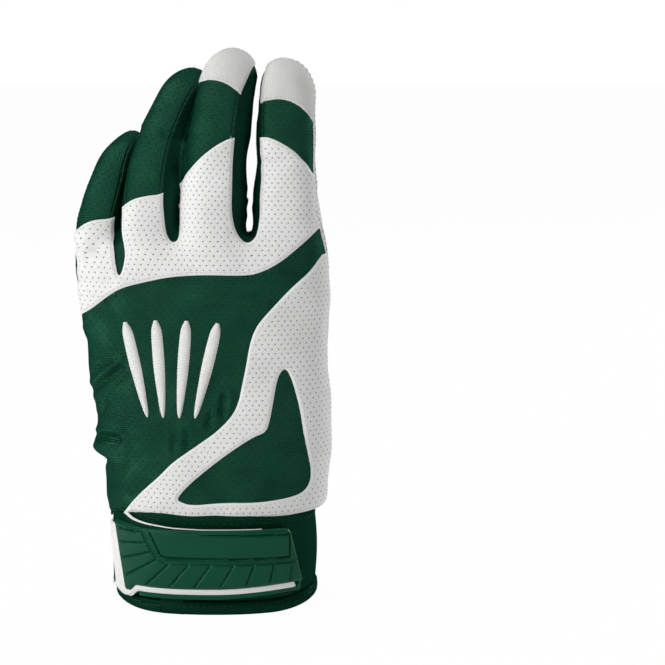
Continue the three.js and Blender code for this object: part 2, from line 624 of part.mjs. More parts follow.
// The moulded tab over the strap: a face with a raised plate and grip pads, and a pale trim below
function addTab() {
  const inner = strap.thickness + seamGap;
  const angles = [rootAngle, angleAt(tab.tipX)];
  const heights = [strap.low, strap.high];
  const end = (z) => tab.tipX - (tab.slant * (z - strap.low)) / (strap.high - strap.low);
  const between = (low, high) => block([point(-cuff.width, low), point(end(low), low), point(end(high), high),
    point(-cuff.width, high)]);
  const layer = wrap(angles, heights, [inner, inner + tab.thickness]);
  const raised = wrap(angles, heights, [inner + tab.thickness / 2, inner + tab.thickness + tab.raised]);
  const trimTop = strap.low + tab.trim;
  const plateTop = strap.high - tab.edge;
  const plate = block([point(tab.plateRootX, tab.plateLow), point(tab.plateTipX, tab.plateLow),
    point(tab.plateTipX, plateTop), point(tab.plateRootX, plateTop)]);
  const padLow = trimTop + seamGap + tab.edge;
  const padTop = padLow + tab.padHigh;
  const pitch = (tab.tipX - tab.slant - tab.plateRootX) / tab.pads;
  const pads = Array.from({ length: tab.pads }, (_, i) => {
    const x = tab.plateRootX - tab.padLean + i * pitch;
    const far = x + pitch - tab.padGap;
    return block([point(x, padLow), point(far, padLow), point(far + tab.padLean, padTop),
      point(x + tab.padLean, padTop)]);
  });
  const face = layer.intersect(between(trimTop + seamGap, strap.high));
  add("tab_face", largest(face.add(raised.intersect(union([plate, ...pads])))), looks.rubber);
  add("tab_trim", layer.intersect(between(strap.low, trimTop)), looks.trim);
}

addBack();
addFingers();
addStrips();
addThumb();
addEmblem();
addCuff();
addFixedFastening();
addStrap();
addTab();

// Stand the middle of the outer box on the origin
const box = new THREE.Box3().setFromObject(group);
const centre = box.getCenter(new THREE.Vector3());
group.position.set(-centre.x, -centre.y, -box.min.z);

export default group;
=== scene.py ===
import math

import bmesh
import bpy
import numpy as np
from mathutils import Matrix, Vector
from mathutils.bvhtree import BVHTree


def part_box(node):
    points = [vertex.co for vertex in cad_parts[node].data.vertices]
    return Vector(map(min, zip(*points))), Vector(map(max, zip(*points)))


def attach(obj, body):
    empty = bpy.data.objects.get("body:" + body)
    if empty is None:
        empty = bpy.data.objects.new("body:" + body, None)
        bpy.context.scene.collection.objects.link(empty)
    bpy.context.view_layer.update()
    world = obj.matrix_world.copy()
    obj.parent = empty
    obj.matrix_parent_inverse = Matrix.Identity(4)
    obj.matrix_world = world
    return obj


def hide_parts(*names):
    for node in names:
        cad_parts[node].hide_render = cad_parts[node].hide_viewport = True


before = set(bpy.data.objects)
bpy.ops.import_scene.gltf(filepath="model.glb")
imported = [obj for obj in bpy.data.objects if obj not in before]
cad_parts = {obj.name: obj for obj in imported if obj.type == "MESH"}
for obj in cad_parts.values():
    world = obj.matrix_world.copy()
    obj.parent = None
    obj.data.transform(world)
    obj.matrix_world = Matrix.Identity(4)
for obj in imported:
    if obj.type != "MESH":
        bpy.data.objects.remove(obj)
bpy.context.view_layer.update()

MM = 0.001
low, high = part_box("cuff_band")
origin = np.array([(low.x + high.x) / 2, (low.y + high.y) / 2, 0.0])

# Sizes of the glove, as in the part
CUFF = {"width": 79, "depth": 51, "height": 40, "wall": 2.2, "hem": 5.5, "hem_proud": 0.5, "side_rise": 3,
        "thumb_side": -0.4, "little_side": 1.2}
SLIT = {"middle": -17, "width": 9, "wall": 1.6}
HAND = {"width": 100, "height": 120, "wrist_depth": 49, "knuckle_depth": 31, "web_slope": 0.42,
        "web_drop": 0.2, "base": 40.3, "top": 0.94}
FINGERS = {
    "index": {"x": 27, "y": 0, "z": 125, "rise": 92.4, "lean": 1, "bow": 0, "curl": 13,
              "width": 26.2, "depth": 21.5},
    "middle": {"x": -0.6, "y": -3, "z": 125, "rise": 95.7, "lean": 9.2, "bow": 0, "curl": 17,
               "width": 26.2, "depth": 22.5},
    "ring": {"x": -25.6, "y": -1.5, "z": 120, "rise": 92.8, "lean": 18, "bow": -2.1, "curl": 29,
             "width": 23.8, "depth": 20},
    "pinky": {"x": -43.4, "y": 3, "z": 112, "rise": 75.8, "lean": 11, "bow": -5, "curl": 22,
              "width": 19.4, "depth": 18},
}
THUMB = {"x": 27, "y": 2, "z": 70, "rise": 110, "lean": -0.5, "bow": 7, "curl": 27, "root_width": 25,
         "root_depth": 25, "width": 20.5, "depth": 18.5}
EMBLEM = {"bars": 4, "length": 38, "width": 4.6, "height": 0.9, "spread": 9, "x": -17, "low": 78,
          "pitch": 6.3}
TIP_LENGTH = 13
ROUNDNESS = 2.4
CURL_POWER = 2.2
LEAN_POWER = 2.8
TAPER = 0.18
WEB_HEIGHT = CUFF["height"] + HAND["height"]
WEB_BLEND = (0.84 * WEB_HEIGHT, 0.97 * WEB_HEIGHT)  # where the hand's sections give way to the fingers'
VIEW_TILT = math.radians(8)
SKIN_STEP = 0.8  # spacing of the points on the sewn skin

# Stage: a plain pale floor, soft lamps and the photograph's view
CAMERA = {"lens": 100, "sensor": 36, "aim": (46.2, 0, 109), "distance": 0.739}
LAMPS = [  # each lamp's place in metres, its size and its watts
    ("key lamp", (-1.2, -1.1, 0.95), 0.8, 14.5), ("raking lamp", (-1.5, -0.5, 0.5), 0.5, 6.6),
    ("side lamp", (1.2, -1.2, 0.6), 1.0, 1.6), ("palm lamp", (1.4, 1.1, 0.9), 0.7, 14.5),
    ("top lamp", (-0.2, 0.1, 1.6), 1.2, 6.5),
]
LAMP_AIM = 110  # the height that the lamps point at
AMBIENT = {"on faces": 0.25, "in reflections": 0.06}
FLOOR = {"reach": 30, "glow": 0.975}  # metres from the middle, and how far the floor looks white by itself


def place(point):
    """A point in millimetres to its place in the frame, in metres"""
    return Vector(origin) + Vector(point) * MM


def make_camera():
    camera = bpy.data.objects.new("camera", bpy.data.cameras.new("camera"))
    bpy.context.scene.collection.objects.link(camera)
    camera.data.lens = CAMERA["lens"]
    camera.data.sensor_width = CAMERA["sensor"]
    away = Vector((0, -math.cos(VIEW_TILT), math.sin(VIEW_TILT)))
    camera.location = place(CAMERA["aim"]) + away * CAMERA["distance"]
    camera.rotation_euler = (-away).to_track_quat("-Z", "Y").to_euler()
    bpy.context.scene.camera = camera


def make_lamp(name, spot, size, watts):
    lamp = bpy.data.objects.new(name, bpy.data.lights.new(name, "AREA"))
    lamp.data.shape = "DISK"
    lamp.data.size = size
    lamp.data.energy = watts
    lamp.location = spot
    middle = place((0, 0, LAMP_AIM))
    lamp.rotation_euler = (middle - Vector(spot)).to_track_quat("-Z", "Y").to_euler()
    bpy.context.scene.collection.objects.link(lamp)


def srgb(text):
    """A hex colour as linear red, green, blue and alpha"""
    values = [int(text[i:i + 2], 16) / 255 for i in (1, 3, 5)]
    return [v / 12.92 if v <= 0.04045 else ((v + 0.055) / 1.055) ** 2.4 for v in values] + [1]


def add_node(tree, kind, inputs=None, output=0, **settings):
    """Adds a node with its settings and links, and returns one of its outputs"""
    made = tree.nodes.new(kind)
    for key, value in settings.items():
        setattr(made, key, value)
    for key, value in (inputs or {}).items():
        if isinstance(value, bpy.types.NodeSocket):
            tree.links.new(value, made.inputs[key])
        else:
            made.inputs[key].default_value = value
    return made.outputs[output] if len(made.outputs) else made


def make_stage():
    world = bpy.data.worlds.new("studio")
    bpy.context.scene.world = world
    world.use_nodes = True
    tree = world.node_tree
    tree.nodes.clear()
    seen = add_node(tree, "ShaderNodeLightPath", output="Is Camera Ray")
    mirrored = add_node(tree, "ShaderNodeLightPath", output="Is Glossy Ray")
    ambient = add_node(tree, "ShaderNodeMapRange", {
        0: mirrored, 3: AMBIENT["on faces"], 4: AMBIENT["in reflections"]})
    strength = add_node(tree, "ShaderNodeMapRange", {0: seen, 3: ambient, 4: 1.0})
    shade = add_node(tree, "ShaderNodeBackground", {"Color": srgb("#ffffff"), "Strength": strength})
    add_node(tree, "ShaderNodeOutputWorld", {"Surface": shade})
    floor = bpy.data.meshes.new("floor")
    reach = FLOOR["reach"]
    floor.from_pydata([(-reach, -reach, 0), (reach, -reach, 0), (reach, reach, 0), (-reach, reach, 0)], [],
                      [(0, 1, 2, 3)])
    ground = bpy.data.objects.new("floor", floor)
    bpy.context.scene.collection.objects.link(ground)
    material = bpy.data.materials.new("matt white paper")
    material.use_nodes = True
    tree = material.node_tree
    tree.nodes.clear()
    seen = add_node(tree, "ShaderNodeLightPath", output="Is Camera Ray")
    share = add_node(tree, "ShaderNodeMath", {0: seen, 1: FLOOR["glow"]}, operation="MULTIPLY")
    matt = add_node(tree, "ShaderNodeBsdfDiffuse", {"Color": srgb("#fbfbfb")})
    white = add_node(tree, "ShaderNodeEmission", {"Color": srgb("#ffffff"), "Strength": 1.0})
    mixed = add_node(tree, "ShaderNodeMixShader", {0: share, 1: matt, 2: white})
    add_node(tree, "ShaderNodeOutputMaterial", {"Surface": mixed})
    floor.materials.append(material)
    for lamp in LAMPS:
        make_lamp(*lamp)


bpy.context.scene.view_settings.view_transform = "Standard"
make_camera()
make_stage()


# Shaping the skin
def smooth(start, end, value):
    """0 before start, 1 after end, and a soft step between them"""
    share = np.clip((value - start) / (end - start), 0, 1)
    return share * share * (3 - 2 * share)


def rounded(points, closed=False, rounds=2, cut=0.25):
    """The line with its corners cut by a share of each side, round after round"""
    line = np.array(points, float)
    for _ in range(rounds):
        after = np.roll(line, -1, 0)
        pairs = np.stack([(1 - cut) * line + cut * after, cut * line + (1 - cut) * after], 1)
        if closed:
            line = pairs.reshape(-1, line.shape[1])
        else:
            line = np.concatenate([line[:1], pairs[:-1].reshape(-1, line.shape[1]), line[-1:]])
    return line


def digit_middle(digit, share):
    """The middle of a finger or the thumb at a share of its path"""
    share = np.clip(share, 0, 1)
    x = digit["x"] + digit["bow"] * np.sin(np.pi * share)
    lean, curl = share ** LEAN_POWER, share ** CURL_POWER
    if digit is THUMB:
        lean, curl = share, 1 - (1 - share) ** 2
    return np.stack([x + digit["lean"] * lean, digit["y"] + digit["curl"] * curl,
                     digit["z"] + digit["rise"] * share], -1)


def digit_halves(digit, share):
    """Half of a digit's width and of its depth at a share of its path"""
    if digit is THUMB:
        ease = smooth(0, 0.75, share)
        return ((digit["root_width"] + (digit["width"] - digit["root_width"]) * ease) / 2,
                (digit["root_depth"] + (digit["depth"] - digit["root_depth"]) * ease) / 2)
    taper = 1 - TAPER * share * share
    return taper * digit["width"] / 2, taper * digit["depth"] / 2


def digit_place(digit, points):
    """Where points lie by a digit: the share of its path, the distance past its end, and the two distances
    from its middle across and through it"""
    share = np.clip((points[:, 2] - digit["z"]) / digit["rise"], 0, 1)
    near = 0.01  # the share over which the path's direction is taken
    for _ in range(2):
        middle = digit_middle(digit, share)
        along = (digit_middle(digit, share + near) - digit_middle(digit, share - near)) / (2 * near)
        along[share > 1 - near] *= 2
        along[share < near] *= 2
        step = ((points - middle) * along).sum(1) / (along * along).sum(1)
        share = np.clip(share + step, 0, 1)
    middle = digit_middle(digit, share)
    along = digit_middle(digit, share + near) - digit_middle(digit, share - near)
    along /= np.linalg.norm(along, axis=1)[:, None]
    across = -along * along[:, :1]
    across[:, 0] += 1
    across /= np.linalg.norm(across, axis=1)[:, None]
    deep = np.cross(along, across)
    away = points - middle
    return share, (away * along).sum(1), (away * across).sum(1), (away * deep).sum(1)


def round_radius(x, y, half_x, half_y):
    """1 on the rounded section with these half widths, less inside it and more outside"""
    return ((np.abs(x) / half_x) ** ROUNDNESS + (np.abs(y) / half_y) ** ROUNDNESS) ** (1 / ROUNDNESS)


def digit_distance(digit, points):
    """Distance to a digit's surface, below zero inside"""
    share, past, x, y = digit_place(digit, points)
    half_x, half_y = digit_halves(digit, share)
    tip = np.clip((share - 1 + TIP_LENGTH / digit["rise"]) * digit["rise"] + np.maximum(past, 0), 0, None)
    radius = np.sqrt(round_radius(x, y, half_x, half_y) ** 2 + (tip / TIP_LENGTH) ** 2) + 1e-4
    length = np.sqrt(x * x + y * y + tip * tip)
    distance = length - length / radius
    return np.where(share <= 0, np.maximum(distance, -past), distance)


# Cross sections of the hand from wrist to webs: the height as a share of the hand's, then the reaches to
# the little finger, the thumb, the back and the palm as shares of its half width and half depth
HAND_ROWS = rounded([
    (-0.05, 0.9, 0.84, 1, 1), (0, 0.905, 0.85, 1, 1), (0.115, 0.895, 0.885, 0.96, 0.96),
    (0.22, 0.965, 0.905, 0.92, 0.94), (0.32, 0.965, 0.9, 0.92, 0.93), (0.42, 1.03, 0.87, 0.92, 0.93),
    (0.53, 1.035, 0.855, 0.93, 0.95), (0.635, 1.04, 0.885, 0.95, 0.97), (0.74, 1.04, 0.905, 0.98, 0.98),
    (0.83, 1.045, 0.86, 0.97, 0.93), (0.895, 0.99, 0.79, 0.82, 0.76), (0.94, 0.87, 0.68, 0.58, 0.5),
])


def hand_half_depth(share):
    ease = smooth(0, 0.9, share)
    return (HAND["wrist_depth"] + (HAND["knuckle_depth"] - HAND["wrist_depth"]) * ease) / 2


def hand_place(points):
    """Where points lie in the hand: the share of its height, and the half width and half depth there"""
    x, y, z = points.T
    share = (z - HAND["base"]) / HAND["height"]
    for _ in range(4):
        lean = smooth(0.45, 0.95, share) * (HAND["web_drop"] * x + HAND["web_slope"] * y)
        share = 0.5 * share + 0.5 * (z - HAND["base"] - lean) / HAND["height"]
    little, inner, back, palm = (np.interp(share, HAND_ROWS[:, 0], HAND_ROWS[:, i]) for i in (1, 2, 3, 4))
    half_x = np.where(x > 0, inner, little) * HAND["width"] / 2
    half_y = np.where(y > 0, palm, back) * hand_half_depth(share)
    return share, half_x, half_y


def hand_distance(points):
    """Distance to the hand's surface without its fingers, below zero inside"""
    share, half_x, half_y = hand_place(points)
    radius = round_radius(points[:, 0], points[:, 1], half_x, half_y) + 1e-4
    length = np.hypot(points[:, 0], points[:, 1])
    return np.maximum(length - length / radius, (share - HAND["top"]) * HAND["height"])


def blended(first, second, reach):
    """The union of two distances, with a smooth fillet between them"""
    share = np.clip(0.5 + 0.5 * (second - first) / reach, 0, 1)
    return second + (first - second) * share - reach * share * (1 - share)


def surface_net(field, corner, step):
    """A smooth mesh of four-sided faces through the zero of a field on a grid of points"""
    inside = field < 0
    shape = [n - 1 for n in field.shape]
    corners = [(i, j, k) for i in (0, 1) for j in (0, 1) for k in (0, 1)]
    count = sum(inside[i:i + shape[0], j:j + shape[1], k:k + shape[2]].astype(np.int8) for i, j, k in corners)
    cells = np.argwhere((count > 0) & (count < 8))
    values = [field[cells[:, 0] + i, cells[:, 1] + j, cells[:, 2] + k] for i, j, k in corners]
    total = np.zeros((len(cells), 3))
    number = np.zeros(len(cells))
    for a in range(8):
        for b in range(a + 1, 8):
            if sum(abs(p - q) for p, q in zip(corners[a], corners[b])) == 1:
                crossed = (values[a] < 0) != (values[b] < 0)
                share = (values[a][crossed] / (values[a][crossed] - values[b][crossed]))[:, None]
                total[crossed] += np.array(corners[a]) + share * (np.array(corners[b]) - np.array(corners[a]))
                number[crossed] += 1
    points = np.array(corner) + step * (cells + total / number[:, None])
    index = np.full(shape, -1, np.int64)
    index[tuple(cells.T)] = np.arange(len(cells))
    quads = []
    for axis in range(3):
        u, v = (axis + 1) % 3, (axis + 2) % 3
        here = np.take(inside, range(shape[axis]), axis)
        there = np.take(inside, range(1, shape[axis] + 1), axis)
        edges = np.argwhere(here != there)
        limits = np.array(shape)
        within = (edges[:, [u, v]] > 0) & (edges[:, [u, v]] < limits[[u, v]])
        edges = edges[within.all(1)]
        leaving = here[tuple(edges.T)]
        step_u, step_v = np.eye(3, dtype=int)[u], np.eye(3, dtype=int)[v]
        around = [edges - step_u - step_v, edges - step_v, edges, edges - step_u]
        faces = np.stack([index[tuple(cell.T)] for cell in around], 1)
        quads.append(np.where(leaving[:, None], faces, faces[:, ::-1]))
    return points, np.concatenate(quads)


def relaxed(points, quads, rounds, share=0.5):
    """The points moved towards the middle of their neighbours"""
    pairs = np.concatenate([quads[:, [i, (i + 1) % 4]] for i in range(4)])
    pairs = np.concatenate([pairs, pairs[:, ::-1]])
    number = np.bincount(pairs[:, 0], minlength=len(points)).astype(float)
    for _ in range(rounds):
        mean = np.stack([np.bincount(pairs[:, 0], points[pairs[:, 1], i], len(points)) for i in range(3)], 1)
        points = points + share * (mean / number[:, None] - points)
    return points


def corner_normals(points, faces):
    """The normal at each point, from the faces round it"""
    a, b, c = points[faces[:, 0]], points[faces[:, 1]], points[faces[:, 2]]
    normal = np.cross(b - a, c - a)
    total = np.zeros_like(points)
    for i in range(3):
        for axis in range(3):
            total[:, axis] += np.bincount(faces[:, i], normal[:, axis], len(points))
    return total / np.maximum(np.linalg.norm(total, axis=1), 1e-9)[:, None]


def triangles(quads):
    return np.concatenate([quads[:, [0, 1, 2]], quads[:, [0, 2, 3]]])


def sampled(distance, points, box, outside=30.0):
    """A distance worked out only for the points inside a box"""
    near = np.all((points > np.array(box[0])) & (points < np.array(box[1])), 1)
    values = np.full(len(points), outside, np.float32)
    values[near] = distance(points[near])
    return values


def digit_box(digit):
    """A box with room round a digit"""
    ends = digit_middle(digit, np.linspace(0, 1, 9))
    reach = np.array([19, 17, 13])
    return ends.min(0) - reach, ends.max(0) + reach


def grid(low, high, step):
    """Points all through a box, and how many there are along each axis"""
    axes = [np.arange(a, b + step, step) for a, b in zip(low, high)]
    mesh = np.meshgrid(*axes, indexing="ij")
    return np.stack([m.ravel() for m in mesh], 1).astype(np.float32), mesh[0].shape


SLIT_BETWEEN = 1.0  # how far apart two fingers' cloths are kept
FINGER_FILLET = 5.0  # how far the fillets reach where the fingers and the web leave the hand
WEB_FILLET = 2.0
# The open gap between the first two fingers reaches down to a height, and a web closes the view between the
# middle and the ring finger: the places are in millimetres
OPEN_GAP = {"x": 13.2, "half_width": 4.2, "low": 148.5}
RING_WEB = {"low": (-15.2, 2.5, 146), "high": (-13.2, 5, 182), "radius": 3}


def web_distance(points):
    """Distance to the web between the middle and the ring finger"""
    low, high = np.array(RING_WEB["low"]), np.array(RING_WEB["high"])
    share = np.clip((points[:, 2] - low[2]) / (high[2] - low[2]), 0, 1)[:, None]
    return np.linalg.norm(points - low - (high - low) * share, axis=1) - RING_WEB["radius"]


def glove_distance(points):
    """Distance to the hand with its four fingers, which stay apart above the webs"""
    hand = sampled(hand_distance, points, ((-70, -40, 0), (70, 40, 172)))
    above = points[:, 2] - OPEN_GAP["low"]
    hand = np.maximum(hand, np.minimum(OPEN_GAP["half_width"] - np.abs(points[:, 0] - OPEN_GAP["x"]), above))
    each = [sampled(lambda p, f=f: digit_distance(f, p), points, digit_box(f)) for f in FINGERS.values()]
    slits = [np.where(np.maximum(first, second) < 5, SLIT_BETWEEN - np.abs(first - second), -30)
             for first, second in zip(each, each[1:])]
    fingers = np.maximum(np.minimum.reduce(each), np.maximum.reduce(slits))
    glove = blended(blended(hand, fingers, FINGER_FILLET), web_distance(points), WEB_FILLET)
    return np.maximum(glove, np.minimum(slits[0], above))


def thumb_distance(points):
    return sampled(lambda near: digit_distance(THUMB, near), points, digit_box(THUMB))


def make_skin(distance, low, high, step):
    """The points and triangles of the surface where a distance is zero, inside a box"""
    points, shape = grid(low, high, step)
    found, quads = surface_net(distance(points).reshape(shape), low, step)
    return relaxed(found, quads, 4), triangles(quads)


skin_points, skin_faces = make_skin(glove_distance, (-61, -28, 34), (52, 46, 227), SKIN_STEP)
thumb_points, thumb_faces = make_skin(thumb_distance, (12, -12, 62), (54, 46, 186), SKIN_STEP)


def filleted(distance, reach=9.0):
    """How far a surface rises to meet another one smoothly, at a distance from it"""
    return reach / 4 * (1 - np.minimum(np.abs(distance) / reach, 1)) ** 2


# Creases and folds, as lines over the back (seen as the outlines are) or the palm, in millimetres: the
# line, its depth and its half width. A negative depth is a raised roll.
PALM_CREASES = [
    ([(33.8, 178.8), (28.8, 177.6), (23.6, 178.4), (19.6, 180)], 1.1, 1.3),
    ([(34, 182), (28, 181.6), (21, 183)], -0.7, 1.8),
    ([(38.6, 177.4), (33.8, 173.8)], 0.5, 1.2),
    ([(41.2, 169.8), (34.5, 166.5)], 0.5, 1.4),
    ([(9.2, 195.7), (-0.4, 195.6), (-7.6, 196.8)], 0.7, 1.4),
    ([(7, 182.4), (-3.2, 180.4), (-12.8, 180.4)], 0.5, 1.5),
    ([(11.2, 162.1), (1.2, 160.8), (-10.6, 163.6)], 0.9, 1.5),
    ([(9.8, 156.4), (2.5, 155.2), (-4.8, 156.8), (-12.8, 160.4)], 1.5, 1.9),
    ([(10, 159.2), (1, 158.2), (-9, 160.6)], -0.8, 1.6),
    ([(-15.6, 173), (-22.2, 170.8), (-29.5, 170.5), (-34.6, 171.6)], 1.3, 1.4),
    ([(-15.2, 176.4), (-22, 174.6), (-31, 174.4)], -0.6, 1.8),
    ([(-17, 186), (-25, 183.6), (-32, 184.4)], 0.5, 1.5),
    ([(-14.2, 155.6), (-17.8, 151.2), (-25.1, 144.8), (-29.5, 136)], 1.0, 2.4),
    ([(-39.6, 155.6), (-46.2, 154.1), (-54.2, 156.4)], 0.9, 1.4),
    ([(-39.6, 149), (-49.1, 146.8), (-57.1, 147.6)], 0.7, 1.5),
    ([(-36, 136.8), (-41.8, 133.8), (-49.1, 134.1), (-57.8, 138.8)], 1.3, 2.0),
    ([(-36.8, 135.2), (-45.5, 130.8), (-54.2, 128.8)], 0.7, 1.8),
    ([(-38, 139.2), (-46, 137.6), (-54, 141)], -0.6, 2.0),
    ([(-34, 103.6), (-44, 102), (-54, 104)], 1.5, 2.6),
    ([(-36, 108), (-46, 107), (-56, 109)], -1.1, 2.4),
    ([(-37.2, 79.6), (-44.6, 81.2), (-50, 83)], 1.0, 2.0),
    ([(-34, 76.4), (-42.2, 76.8), (-50, 78.2)], 1.3, 2.2),
    ([(-34, 84.5), (-43, 85.5), (-50, 88)], -0.9, 2.4),
    ([(-24.2, 59.2), (-34, 61.6), (-43, 64.9)], 1.1, 2.4),
    ([(-3, 72.4), (-14.4, 69), (-34, 69)], 1.1, 5.0),
    ([(16.6, 111.4), (12.5, 104.9), (11.7, 100), (13.3, 94.4)], 1.0, 2.4),
    ([(20.5, 112), (17, 104.5), (16.4, 99), (18, 92)], -0.6, 2.4),
    ([(26.4, 59.2), (8.4, 58.4), (-9.6, 60.8), (-25.8, 64.9)], 1.2, 5.5),
    ([(21.6, 42.8), (2, 40.4), (-17.6, 40.8)], 0.9, 2.8),
    ([(20, 48), (2, 46.4), (-20, 47)], -0.7, 3.0),
    ([(38, 150), (24, 146), (10, 149)], 0.8, 3.5),
]
BACK_CREASES = [
    ([(-49, 85.2), (-43, 89.6), (-37.2, 93.8)], 0.9, 1.5),
    ([(-48.5, 88.5), (-43, 92.6), (-37.5, 96.6)], -0.5, 1.5),
    ([(-47.2, 94.5), (-42.2, 96.6)], 0.5, 1.2),
    ([(-46.5, 75.2), (-43.6, 79.6)], 0.6, 1.3),
    ([(-48, 65.8), (-44, 66.4), (-39, 66)], 1.1, 1.5),
    ([(-47, 69.6), (-43, 69.8), (-38, 69)], -0.7, 1.7),
    ([(3.8, 82.4), (3.1, 76)], 0.7, 1.3),
    ([(6.4, 83.5), (5.6, 76.5)], -0.4, 1.4),
    ([(-1.6, 75.2), (-2.4, 71)], 0.6, 1.2),
    ([(-10.8, 68.8), (-10.8, 63.8)], 0.5, 1.2),
    ([(-16, 66.8), (-16, 62.4)], 0.4, 1.2),
    ([(-56, 142.8), (-47.2, 141.2)], 0.5, 1.6),
    ([(-54, 128.6), (-41, 126.8)], 0.5, 2.0),
    ([(-20, 186.5), (-12, 184.6), (-4, 185.6)], 0.35, 1.6),
    ([(-33, 171), (-26, 169.6)], 0.3, 1.6),
    ([(34, 176), (24, 174.6), (16, 175.6)], 0.3, 1.6),
]
FOLD_DEPTH = 1.25  # how much deeper the folds are pressed than the lists say
ROLL = {"height": 0.35, "away": 2}  # the roll beside each fold, as shares of its depth and half width
UNEVEN = ((34, 0.35), (21, 0.22), (12, 0.12))  # the soft unevenness: length and height of its waves
# The puckered lump on the little finger's side above the strap, and the pinch below it: middle, reach, height
PUCKERS = [((-46, 0, 64), (8, 13, 4.2), 3.0), ((-45, 0, 58.2), (7, 12, 2.2), -1.8)]
HEM_TUCK = {"depth": 0.9, "low": 38, "high": 44.5}  # the hem drawn in to meet the cuff


def line_distance(points, line, closed=False):
    """Distance from flat points to a line through a list of points"""
    starts = np.array(line, float)
    ends = np.roll(starts, -1, 0)
    if not closed:
        starts, ends = starts[:-1], ends[:-1]
    best = np.full(len(points), 1e9)
    for a, b in zip(starts, ends):
        step = b - a
        share = np.clip(((points - a) @ step) / max(step @ step, 1e-9), 0, 1)
        away = points - a - share[:, None] * step
        best = np.minimum(best, (away * away).sum(1))
    return np.sqrt(best)


def inside_distance(points, outline):
    """Distance to an outline's edge, above zero inside"""
    outline = np.array(outline, float)
    low, high = outline.min(0) - 6, outline.max(0) + 6
    near = np.all((points > low) & (points < high), 1)
    values = np.full(len(points), -6.0)
    spots = points[near]
    inside = np.zeros(len(spots), bool)
    for a, b in zip(outline, np.roll(outline, -1, 0)):
        if a[1] != b[1]:
            across = (a[1] > spots[:, 1]) != (b[1] > spots[:, 1])
            inside ^= across & (spots[:, 0] < a[0] + (spots[:, 1] - a[1]) * (b[0] - a[0]) / (b[1] - a[1]))
    distance = line_distance(spots, outline, closed=True)
    values[near] = np.where(inside, distance, -distance)
    return values


def tilted_view(points, tilt):
    """Where points show, across and up, to an eye that looks down at the hand by a tilt"""
    return np.stack([points[:, 0], points[:, 2] * math.cos(tilt) + points[:, 1] * math.sin(tilt)], 1)


def back_view(points):
    return tilted_view(points, VIEW_TILT)


def palm_view(points):
    return tilted_view(points, -VIEW_TILT)


def creased(points, normals):
    """The skin with its folds pressed in and the soft unevenness of worn leather"""
    rise = np.zeros(len(points))
    for view, creases, side in ((palm_view, PALM_CREASES, 1), (back_view, BACK_CREASES, -1)):
        flat = view(points)
        facing = smooth(-0.15, 0.45, side * normals[:, 1])
        for line, depth, width in creases:
            away = line_distance(flat, rounded(line)) / width
            roll = ROLL["height"] * np.exp(-(away - ROLL["away"]) ** 2)
            rise -= FOLD_DEPTH * facing * depth * (np.exp(-away ** 2) - roll)
    rng = np.random.default_rng(7)
    for wave, size in UNEVEN:
        for _ in range(4):
            direction = rng.normal(size=3)
            direction *= 2 * np.pi / (wave * np.linalg.norm(direction))
            rise += 0.5 * size * np.sin(points @ direction + rng.uniform(0, 6.28))
    for middle, reach, height in PUCKERS:
        away = (points - np.array(middle)) / np.array(reach)
        rise += height * np.exp(-(away * away).sum(1)) * (normals[:, 0] < 0.2)
    rise += filleted(thumb_distance(points))
    rise -= HEM_TUCK["depth"] * (1 - smooth(HEM_TUCK["low"], HEM_TUCK["high"], points[:, 2]))
    return points + normals * rise[:, None]


# Fields over the skin: each is a distance in millimetres that is above zero inside a panel
TURNS = np.linspace(-np.pi, np.pi, 181)


def arc_lengths(aspect):
    """Length round a cross section of half width 1, for turns away from the middle of one side"""
    x = np.sign(np.sin(TURNS)) * np.abs(np.sin(TURNS)) ** (2 / ROUNDNESS)
    y = aspect * np.sign(np.cos(TURNS)) * np.abs(np.cos(TURNS)) ** (2 / ROUNDNESS)
    total = np.concatenate([[0], np.cumsum(np.hypot(np.diff(x), np.diff(y)))])
    return total - np.interp(0, TURNS, total)


def arc_from_middle(x, y, half_x, half_y, side):
    """Signed length round the section from the middle of the back (side -1) or of the palm (side 1)"""
    turn = np.arctan2(np.sign(x) * (np.abs(x) / half_x) ** (ROUNDNESS / 2),
                      side * np.sign(y) * (np.abs(y) / half_y) ** (ROUNDNESS / 2))
    return np.interp(turn, TURNS, arc_lengths(np.median(half_y / half_x))) * half_x


def finger_line(digit, z):
    """The middle of a finger at a height, carried straight on down into the hand"""
    return digit_middle(digit, np.clip((z - digit["z"]) / digit["rise"], 0, 1))


DIGITS = list(FINGERS.values())


def seam_depth(points, share, thumb_side_share, little_side_share=None):
    """Depth of a seam round the fingers and along both sides of the hand"""
    x, z = points[:, 0], points[:, 2]
    lines = [finger_line(f, z) for f in DIGITS]
    reach = np.stack([np.abs(x - line[:, 0]) / f["width"] for f, line in zip(DIGITS, lines)])
    weight = np.exp(-14 * (reach - reach.min(0)))
    weight /= weight.sum(0)
    thumb_side = smooth(-3, 3, x - lines[0][:, 0])
    little_side = smooth(-3, 3, lines[3][:, 0] - x)
    used = share + thumb_side * (thumb_side_share - share)
    if little_side_share is not None:
        used = used + little_side * (little_side_share - used)
    ease = smooth(*WEB_BLEND, z)
    hand_share = used * (1 - thumb_side * (1 - ease))
    in_hand = hand_share * hand_half_depth(np.clip((z - CUFF["height"]) / HAND["height"], 0, 1))
    in_fingers = sum(w * (line[:, 1] + used * f["depth"] / 2) for w, line, f in zip(weight, lines, DIGITS))
    return in_hand + ease * (in_fingers - in_hand)


def laid(shares, closed=True):
    """An outline written as shares of the hand's width and of the height of the webs"""
    points = [(x * HAND["width"], z * WEB_HEIGHT) for x, z in shares]
    return rounded(points, closed)


# The back is nearer to the camera than the hand's middle, so its outlines lie a little aside of where they
# show: towards the thumb, and down by a drop at the floor and a share of the height above it
BACK_SHIFT = 0.7
BACK_DROP = 0.5
BACK_SHRINK = 0.0085


